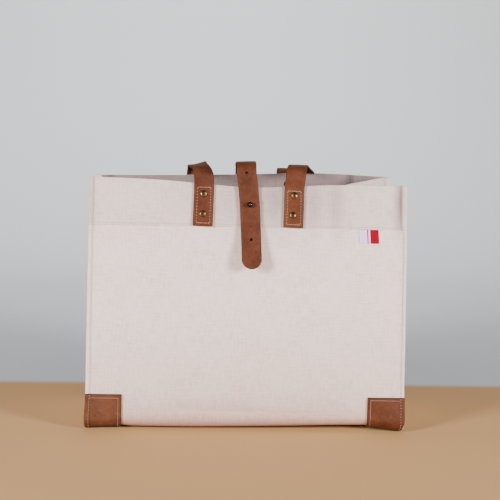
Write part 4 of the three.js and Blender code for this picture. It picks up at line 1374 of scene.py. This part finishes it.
class TOTE_OT_handles(bpy.types.Operator):
    """Lay the two leather handles from tab to tab"""

    bl_idname = "tote.handles"
    bl_label = "Handles"

    def execute(self, context):
        grain, flesh, cut = leathers(context)
        crown = context.scene.tote_leather.crown / MM
        for name, rows in (("front", FRONT_HANDLE), ("back", BACK_HANDLE)):
            piece = strap_piece("leather_handle_" + name, strap_line(rows), crown, [grain, cut, flesh])
            settle(piece, "leather", "handle_" + name)
        return {"FINISHED"}


class TOTE_OT_closing_strap(bpy.types.Operator):
    """Lay the closing strap from the back over the mouth to its free tip"""

    bl_idname = "tote.closing_strap"
    bl_label = "Closing strap"

    def execute(self, context):
        grain, flesh, cut = leathers(context)
        strap = strap_line(CLOSING_STRAP)
        crown = context.scene.tote_leather.crown / MM
        piece = strap_piece("leather_closing_strap", strap, crown, [grain, cut, flesh], tip=True)
        holes = []
        for row, radius in STRAP_HOLES:
            point = CLOSING_STRAP[row].point
            nearest = strap.run[np.argmin(np.linalg.norm(strap.middle - point, axis=1))]
            _, out = on_strap(strap, nearest, 0.0, 0)
            holes.append((point, out, radius))
        cut_holes(piece, holes, flesh)
        settle(piece, "leather", "closing_strap")
        return {"FINISHED"}


# The metal's turned outlines, as radii and heights: the rivets' inner caps, and the stud's plates on both
# sides of the canvas. A rivet's dome has a ring at each of these angles.
RIVET_BACK = ((0.4, -1.5), (1.6, -1.45), (2.9, -1.2), (3.9, -0.7), (4.2, -0.3), (4.1, 0))
RIVET_POST = 1.5
RIVET_ANGLES = (20, 35, 50, 64, 77, 87)
RIVET_SEAT = SEWN + STRAP_THICK / 2 + 0.05
STUD_BACK = ((5.0, 0), (5.2, 0.3), (5.2, 1.0), (5.1, 1.2))
STUD_FRONT = ((5.0, 0), (5.2, 0.3), (5.2, 0.9), (4.9, 1.2))
STUD_NECK = 1.9
STUD_HEAD = 3.6
STUD_ANGLES = range(-45, 90, 15)
STUD_TOP = 0.25
INNER_FACE = -CLOTH / 2 - GAP


class TOTE_OT_rivets(bpy.types.Operator):
    """Set a brass rivet at each seat in the handles' tabs"""

    bl_idname = "tote.rivets"
    bl_label = "Rivets"

    def execute(self, context):
        look = context.scene.tote_metal
        cap = look.cap / MM
        height = look.cap_height / MM
        profile = [(radius, INNER_FACE + up) for radius, up in RIVET_BACK]
        profile += [(RIVET_POST, INNER_FACE), (RIVET_POST, RIVET_SEAT)]
        profile += [(cap * 0.97, RIVET_SEAT), (cap, RIVET_SEAT + height * 0.14)]
        for degrees in RIVET_ANGLES:
            angle = math.radians(degrees)
            profile.append((cap * math.cos(angle) * 1.02, RIVET_SEAT + height * math.sin(angle)))
        model = turned("rivet", profile, 28)
        rubbed = finish_of(brass_material, "antique_brass", look.brass, look.tarnish, 0.3)
        # The inner caps take this dark brass as painted shade
        dark = finish_of(brass_material, "tarnished_brass", look.tarnish, look.stud, 0.45)
        for material in (rubbed, dark):
            model.data.materials.append(material)
        # Faces below the canvas's middle, the inner cap, get the dark brass of painted shade
        for face in model.data.polygons:
            face.material_index = int(face.center.z < 0)
        for at in RIVET_SEATS:
            point, out = on_panel(at.panel, at.x, at.z)
            piece = bpy.data.objects.new("brass_" + at.name, model.data.copy())
            context.scene.collection.objects.link(piece)
            piece.data.transform(standing(point, out))
            settle(piece, "rivet_metal", at.name)
        bpy.data.objects.remove(model)
        return {"FINISHED"}


class TOTE_OT_stud(bpy.types.Operator):
    """Turn the button stud that the closing strap is pushed over"""

    bl_idname = "tote.stud"
    bl_label = "Closing stud"

    def execute(self, context):
        look = context.scene.tote_metal
        flange = HEM_OUT + GAP
        neck = AT_STUD + STRAP_THICK / 2 + GAP
        middle = neck + STUD_HEAD * math.sqrt(1 - (STUD_NECK / STUD_HEAD) ** 2)
        profile = [(radius, INNER_FACE - STUD_FLANGE + up) for radius, up in STUD_BACK]
        profile += [(STUD_NECK, INNER_FACE), (STUD_NECK, flange)]
        profile += [(radius, flange + up) for radius, up in STUD_FRONT]
        profile += [(STUD_NECK, flange + STUD_FLANGE), (STUD_NECK, neck)]
        for degrees in STUD_ANGLES:
            angle = math.radians(degrees)
            profile.append((STUD_HEAD * math.cos(angle), middle + STUD_HEAD * math.sin(angle)))
        profile.append((STUD_TOP, middle + STUD_HEAD))
        piece = turned("brass_closing_stud", profile, 32)
        piece.data.materials.append(finish_of(brass_material, "dark_brass", look.stud, look.grime, 0.1))
        point, out = on_panel(FRONT, STUD_X, STUD_Z)
        piece.data.transform(standing(point, out))
        settle(piece, "stud_metal", "closing_stud")
        return {"FINISHED"}


# The ribbon label: its ends' height under the hem, where it turns at its foot, how far its front, its turn
# and its back lie from the canvas, its ripple and slant, and its thickness
LABEL_TOP = HEM_LINE - 0.5
LABEL_TURN = LABEL_FOOT + 0.7
LABEL_FRONT = 1.35
LABEL_MIDDLE = 1.12
LABEL_BEHIND = 0.88
LABEL_BEND = 0.5
LABEL_RIPPLE = 0.25
LABEL_RIPPLE_LENGTH = 6
LABEL_SLANT = 1.2
LABEL_THICK = 0.18
LABEL_BEAD = 0.05


class TOTE_OT_label(bpy.types.Operator):
    """Fold the ribbon label and tuck it under the hem"""

    bl_idname = "tote.label"
    bl_label = "Ribbon label"

    def execute(self, context):
        # The ribbon goes down in front, turns up at the foot and goes back up behind
        line = []
        for z in np.linspace(LABEL_TOP, LABEL_TURN, 14):
            line.append((z, LABEL_FRONT + LABEL_RIPPLE * math.sin((LABEL_TOP - z) / LABEL_RIPPLE_LENGTH)))
        for angle in (0.5, 1.2, 1.9, 2.6):
            away = LABEL_MIDDLE + (LABEL_FRONT - LABEL_MIDDLE) * math.cos(angle)
            line.append((LABEL_TURN - LABEL_BEND * math.sin(angle), away))
        for z in np.linspace(LABEL_TURN, LABEL_TOP, 14):
            line.append((z, LABEL_BEHIND))
        xs = np.linspace(LABEL_RIGHT, LABEL_LEFT, 12)
        grid = np.stack([on_panel(FRONT, xs, z, away)[0] for z, away in line])
        grid[..., 0] += LABEL_SLANT * ((HEM_LINE - grid[..., 2]) / (HEM_LINE - LABEL_FOOT) - 0.5)
        ribbon = finish_of(ribbon_material, "woven_ribbon", context.scene.tote_canvas)
        parts = wall(grid, LABEL_THICK / 2, -LABEL_THICK / 2, LABEL_BEAD)
        piece = new_piece("ribbon_label", *parts, [ribbon] * 3, 50)
        settle(piece, "label_ribbon", "side_label")
        return {"FINISHED"}


class TOTE_OT_stitching(bpy.types.Operator):
    """Sew the tabs, patches, hems and seams"""

    bl_idname = "tote.stitching"
    bl_label = "Stitching"

    def execute(self, context):
        look = context.scene.tote_thread
        white = finish_of(thread_material, "waxed_linen_white", look.white)
        natural = finish_of(thread_material, "cotton_thread", look.natural)
        for name, runs in [*tab_runs(), *patch_runs()]:
            settle(sew("stitches_" + name, runs, look.white_thick, look.white_pitch, white), "leather")
        for name, runs in canvas_runs():
            settle(sew("stitches_" + name, runs, look.seam_thick, look.seam_pitch, natural), "canvas")
        return {"FINISHED"}


# The sewn ends of the straps, and how far up each the stitches go
Tab = namedtuple("Tab", "name rows at_start top")
TABS = (
    Tab("tab_front_left", FRONT_HANDLE, True, 49.5),
    Tab("tab_front_right", FRONT_HANDLE, False, 46.8),
    Tab("tab_back_right", BACK_HANDLE, True, 48.5),
    Tab("tab_back_left", BACK_HANDLE, False, 48.5),
    Tab("tab_closing_strap", CLOSING_STRAP, False, 48.5),
)
TAB_FOOT = 3.9
TAB_SIDE = 8.5
# How high the threads lie on a strap and on a patch, how far they sink at its fold, and where that starts
ON_STRAP = STRAP_THICK / 2 + 0.1
ON_PATCH = PATCH_OUT + PATCH_THICK + 0.05
PATCH_SINK = 0.5
PATCH_LOW = FOOT_RISE + 8
# The hem's stitches: how far over its edge, and how far from the tabs and the side edges they stop
HEM_STITCH = 2.6
TAB_CLEAR = 14
HEM_END = WIDTH / 2 - 3
RUN_STEP = 2.0


def tab_runs():
    """The box of white stitches in each tab: slanted at the foot, spaced at the sides, close at the top."""
    for tab in TABS:
        strap = strap_line(tab.rows)
        low, high = TAB_FOOT, tab.top
        if not tab.at_start:
            low, high = strap.run[-1] - low, strap.run[-1] - high
        corners = [(low, TAB_SIDE), (low, -TAB_SIDE), (high, -TAB_SIDE), (high, TAB_SIDE), (low, TAB_SIDE)]
        runs = []
        for start, stop, kind in zip(corners, corners[1:], (SLANTED, SPACED, CLOSE, SPACED)):
            run, across = polyline(start, stop).T
            runs.append((*on_strap(strap, run, across, ON_STRAP), kind))
        yield tab.name, runs


def patch_runs():
    """The white stitches round each patch: fine where they hold the leather, spaced down the side seam."""
    for name, panel, side in PATCHES:
        top, inner, flange, low_flange, foot_flange = PATCH_SEAMS[side]
        inner = PATCH_CUTS[side].width - inner
        foot = PATCH_DROP - top
        lines = (
            (polyline((top, flange), (top, inner)), FINE),
            (polyline((top, inner), (foot, inner)), FINE),
            (polyline((foot, inner), (foot, foot_flange)), FINE),
            (polyline((foot, foot_flange), (BASE_DROP, foot_flange), (PATCH_LOW, low_flange)), SPACED),
            (polyline((PATCH_LOW, low_flange), (PATCH_CUTS[side].top + 0.8, flange)), SPACED),
        )
        runs = []
        for line, kind in lines:
            drop, from_edge = line.T
            point, out = strip_frame(panel, drop, side * to_u(from_edge))
            away = ON_PATCH - PATCH_SINK * smooth(drop, PATCH_LOW, BASE_DROP)
            runs.append((point + out * away[:, None], out, kind))
        yield "patch_" + name, runs


def canvas_runs():
    """The natural stitches along the hems, but for the tabs, and down the side seams to the patches."""
    near, far = TAB_X - TAB_CLEAR, TAB_X + TAB_CLEAR
    for name, panel in (("front", FRONT), ("back", BACK)):
        runs = []
        for start, stop in ((-HEM_END, -far), (-near, near), (far, HEM_END)):
            x = np.arange(start, stop, RUN_STEP)
            runs.append((*on_panel(panel, x, HEM_LINE + HEM_STITCH, HEM_OUT), HEMMED))
        yield "hem_" + name, runs
        runs = []
        for side in (-1, 1):
            rim = rim_height(panel, side * to_u(5))
            foot = PATCH_HEIGHT - PATCH_CUTS[side].top + 1
            for low, high, offset in ((foot, HEM_LINE - 1, CLOTH / 2), (HEM_LINE + 1, rim - 2, HEM_OUT)):
                z = np.arange(low, high, RUN_STEP)
                x = side * (half_width(z) - seam_inset(np.full(z.shape, side), z))
                runs.append((*on_panel(panel, x, z, offset), HEMMED))
        yield "seam_" + name, runs


# Stage


class TOTE_OT_stage(bpy.types.Operator):
    """Lay the floor and backdrop, light them and set the camera"""

    bl_idname = "tote.stage"
    bl_label = "Stage"

    def execute(self, context):
        look = context.scene.tote_stage
        lay_floor(look)
        hang_lamps(context, look)
        set_camera(context)
        return {"FINISHED"}


# The floor, its sweep up into the backdrop, and where the backdrop's colour takes over, in metres
FLOOR_SIZE = 6
FLOOR_BACK = 2
SWEEP = (0, 0.4, 3)
SWEEP_BEND = 0.7
SWEEP_STEPS = 12
FLOOR_END = (0.17, 0.205)
NEAR = 0.01


def pick_back_edge(floor):
    """Selects the edge between the floor and the backdrop."""
    bpy.ops.object.mode_set(mode="OBJECT")
    for edge in floor.data.edges:
        ends = [floor.data.vertices[v].co for v in edge.vertices]
        edge.select = all(abs(end.y - FLOOR_BACK) < NEAR and end.z < NEAR for end in ends)
    bpy.ops.object.mode_set(mode="EDIT")


def lay_floor(look):
    """A pale floor that sweeps up into a backdrop: painted board, matt, with the wall's colour far back."""
    deselect_all()
    bpy.ops.mesh.primitive_plane_add(size=FLOOR_SIZE, location=(0, FLOOR_BACK - FLOOR_SIZE / 2, 0))
    floor = bpy.context.object
    floor.name = "floor"
    bpy.ops.object.transform_apply(location=True)
    bpy.ops.object.mode_set(mode="EDIT")
    bpy.ops.mesh.select_mode(type="EDGE")
    bpy.ops.mesh.select_all(action="DESELECT")
    pick_back_edge(floor)
    bpy.ops.mesh.extrude_region_move(TRANSFORM_OT_translate={"value": SWEEP})
    pick_back_edge(floor)
    bpy.ops.mesh.bevel(offset=SWEEP_BEND, segments=SWEEP_STEPS)
    bpy.ops.object.mode_set(mode="OBJECT")
    bpy.ops.object.shade_smooth()
    material, tree, shader = begin_material("painted_board")
    place = add_node(tree, "ShaderNodeTexCoord", {}, "Object")
    depth = add_node(tree, "ShaderNodeSeparateXYZ", {"Vector": place}, "Y")
    inputs = {"Value": depth, "From Min": FLOOR_END[0], "From Max": FLOOR_END[1]}
    far = add_node(tree, "ShaderNodeMapRange", inputs, interpolation_type="SMOOTHSTEP")
    tone = add_node(tree, "ShaderNodeMix", {0: far, 6: look.floor, 7: look.wall}, **COLOURS)
    plug(tree, shader, {"Base Color": tone, "Roughness": 0.8, "Specular IOR Level": 0.2})
    floor.data.materials.append(material)
    floor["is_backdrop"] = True


Lamp = namedtuple("Lamp", "name place aim size spread")
LAMPS = (
    Lamp("key", (-1.6, -1.5, 0.72), (0, 0, 0.2), 0.6, 180),
    Lamp("fill", (1.6, -1.5, 0.72), (0, 0, 0.2), 0.6, 180),
    Lamp("back", (0, 0.6, 2.6), (0, 2.3, 0.7), 1.4, 100),
)


def hang_lamps(context, look):
    """Two soft lamps low in front, left and right, one on the backdrop, and an even light from all round."""
    for name, place, aim, size, spread in LAMPS:
        data = bpy.data.lights.new(name, "AREA")
        data.size = size
        data.spread = math.radians(spread)
        data.energy = getattr(look, name)
        lamp = bpy.data.objects.new(name, data)
        lamp.location = place
        lamp.rotation_euler = (Vector(aim) - Vector(place)).to_track_quat("-Z", "Y").to_euler()
        context.scene.collection.objects.link(lamp)
    world = bpy.data.worlds.new("room")
    world.use_nodes = True
    sky = world.node_tree.nodes["Background"]
    sky.inputs["Color"].default_value = look.room
    sky.inputs["Strength"].default_value = look.sky
    context.scene.world = world


# The camera stands a little left of the front, with a small roll, as the photograph was taken
CAMERA_YAW = 4.0
CAMERA_PITCH = 5.95
CAMERA_ROLL = 1.45
CAMERA_AIM = Vector((0.0022, -0.06, 0.2278))
CAMERA_DISTANCE = 1.531
CAMERA_LENS = 86.4


def set_camera(context):
    yaw, pitch, roll = (math.radians(angle) for angle in (CAMERA_YAW, CAMERA_PITCH, CAMERA_ROLL))
    ahead = Vector((math.sin(yaw) * math.cos(pitch), math.cos(yaw) * math.cos(pitch), -math.sin(pitch)))
    level = Vector((math.cos(yaw), -math.sin(yaw), 0))
    upright = level.cross(ahead)
    right = math.cos(roll) * level + math.sin(roll) * upright
    up = math.cos(roll) * upright - math.sin(roll) * level
    data = bpy.data.cameras.new("camera")
    data.sensor_width = 36
    data.lens = CAMERA_LENS
    camera = bpy.data.objects.new("camera", data)
    turn = Matrix((right, up, -ahead)).transposed().to_4x4()
    camera.matrix_world = Matrix.Translation(CAMERA_AIM - ahead * CAMERA_DISTANCE) @ turn
    context.scene.collection.objects.link(camera)
    context.scene.camera = camera


# The add-on

OPERATORS = (
    TOTE_OT_stage,
    TOTE_OT_body,
    TOTE_OT_sides,
    TOTE_OT_patches,
    TOTE_OT_handles,
    TOTE_OT_closing_strap,
    TOTE_OT_rivets,
    TOTE_OT_stud,
    TOTE_OT_label,
    TOTE_OT_stitching,
)
SETTINGS = (
    ("tote_canvas", ToteCanvas),
    ("tote_leather", ToteLeather),
    ("tote_metal", ToteMetal),
    ("tote_thread", ToteThread),
    ("tote_stage", ToteStage),
)


class TOTE_PT_panel(bpy.types.Panel):
    """The tote's settings and pieces"""

    bl_idname = "TOTE_PT_panel"
    bl_label = "Canvas box tote"
    bl_space_type = "VIEW_3D"
    bl_region_type = "UI"
    bl_category = "Tote"

    def draw(self, context):
        for name, kind in SETTINGS:
            column = self.layout.column(align=True)
            for key in kind.__annotations__:
                column.prop(getattr(context.scene, name), key)
        for operator in OPERATORS:
            self.layout.operator(operator.bl_idname)


def register():
    for name, kind in SETTINGS:
        bpy.utils.register_class(kind)
        setattr(bpy.types.Scene, name, PointerProperty(type=kind))
    for operator in OPERATORS:
        bpy.utils.register_class(operator)
    bpy.utils.register_class(TOTE_PT_panel)


def unregister():
    bpy.utils.unregister_class(TOTE_PT_panel)
    for operator in reversed(OPERATORS):
        bpy.utils.unregister_class(operator)
    for name, kind in reversed(SETTINGS):
        delattr(bpy.types.Scene, name)
        bpy.utils.unregister_class(kind)


def main():
    register()
    bpy.ops.tote.stage()
    bpy.ops.tote.body()
    bpy.ops.tote.sides()
    bpy.ops.tote.patches()
    bpy.ops.tote.handles()
    bpy.ops.tote.closing_strap()
    bpy.ops.tote.rivets()
    bpy.ops.tote.stud()
    bpy.ops.tote.label()
    bpy.ops.tote.stitching()
    boxes = {"cad": CAD_BOX, "visual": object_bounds()}
    {name: [list(corner) for corner in box] for name, box in boxes.items()}


if __name__ == "__main__":
    main()
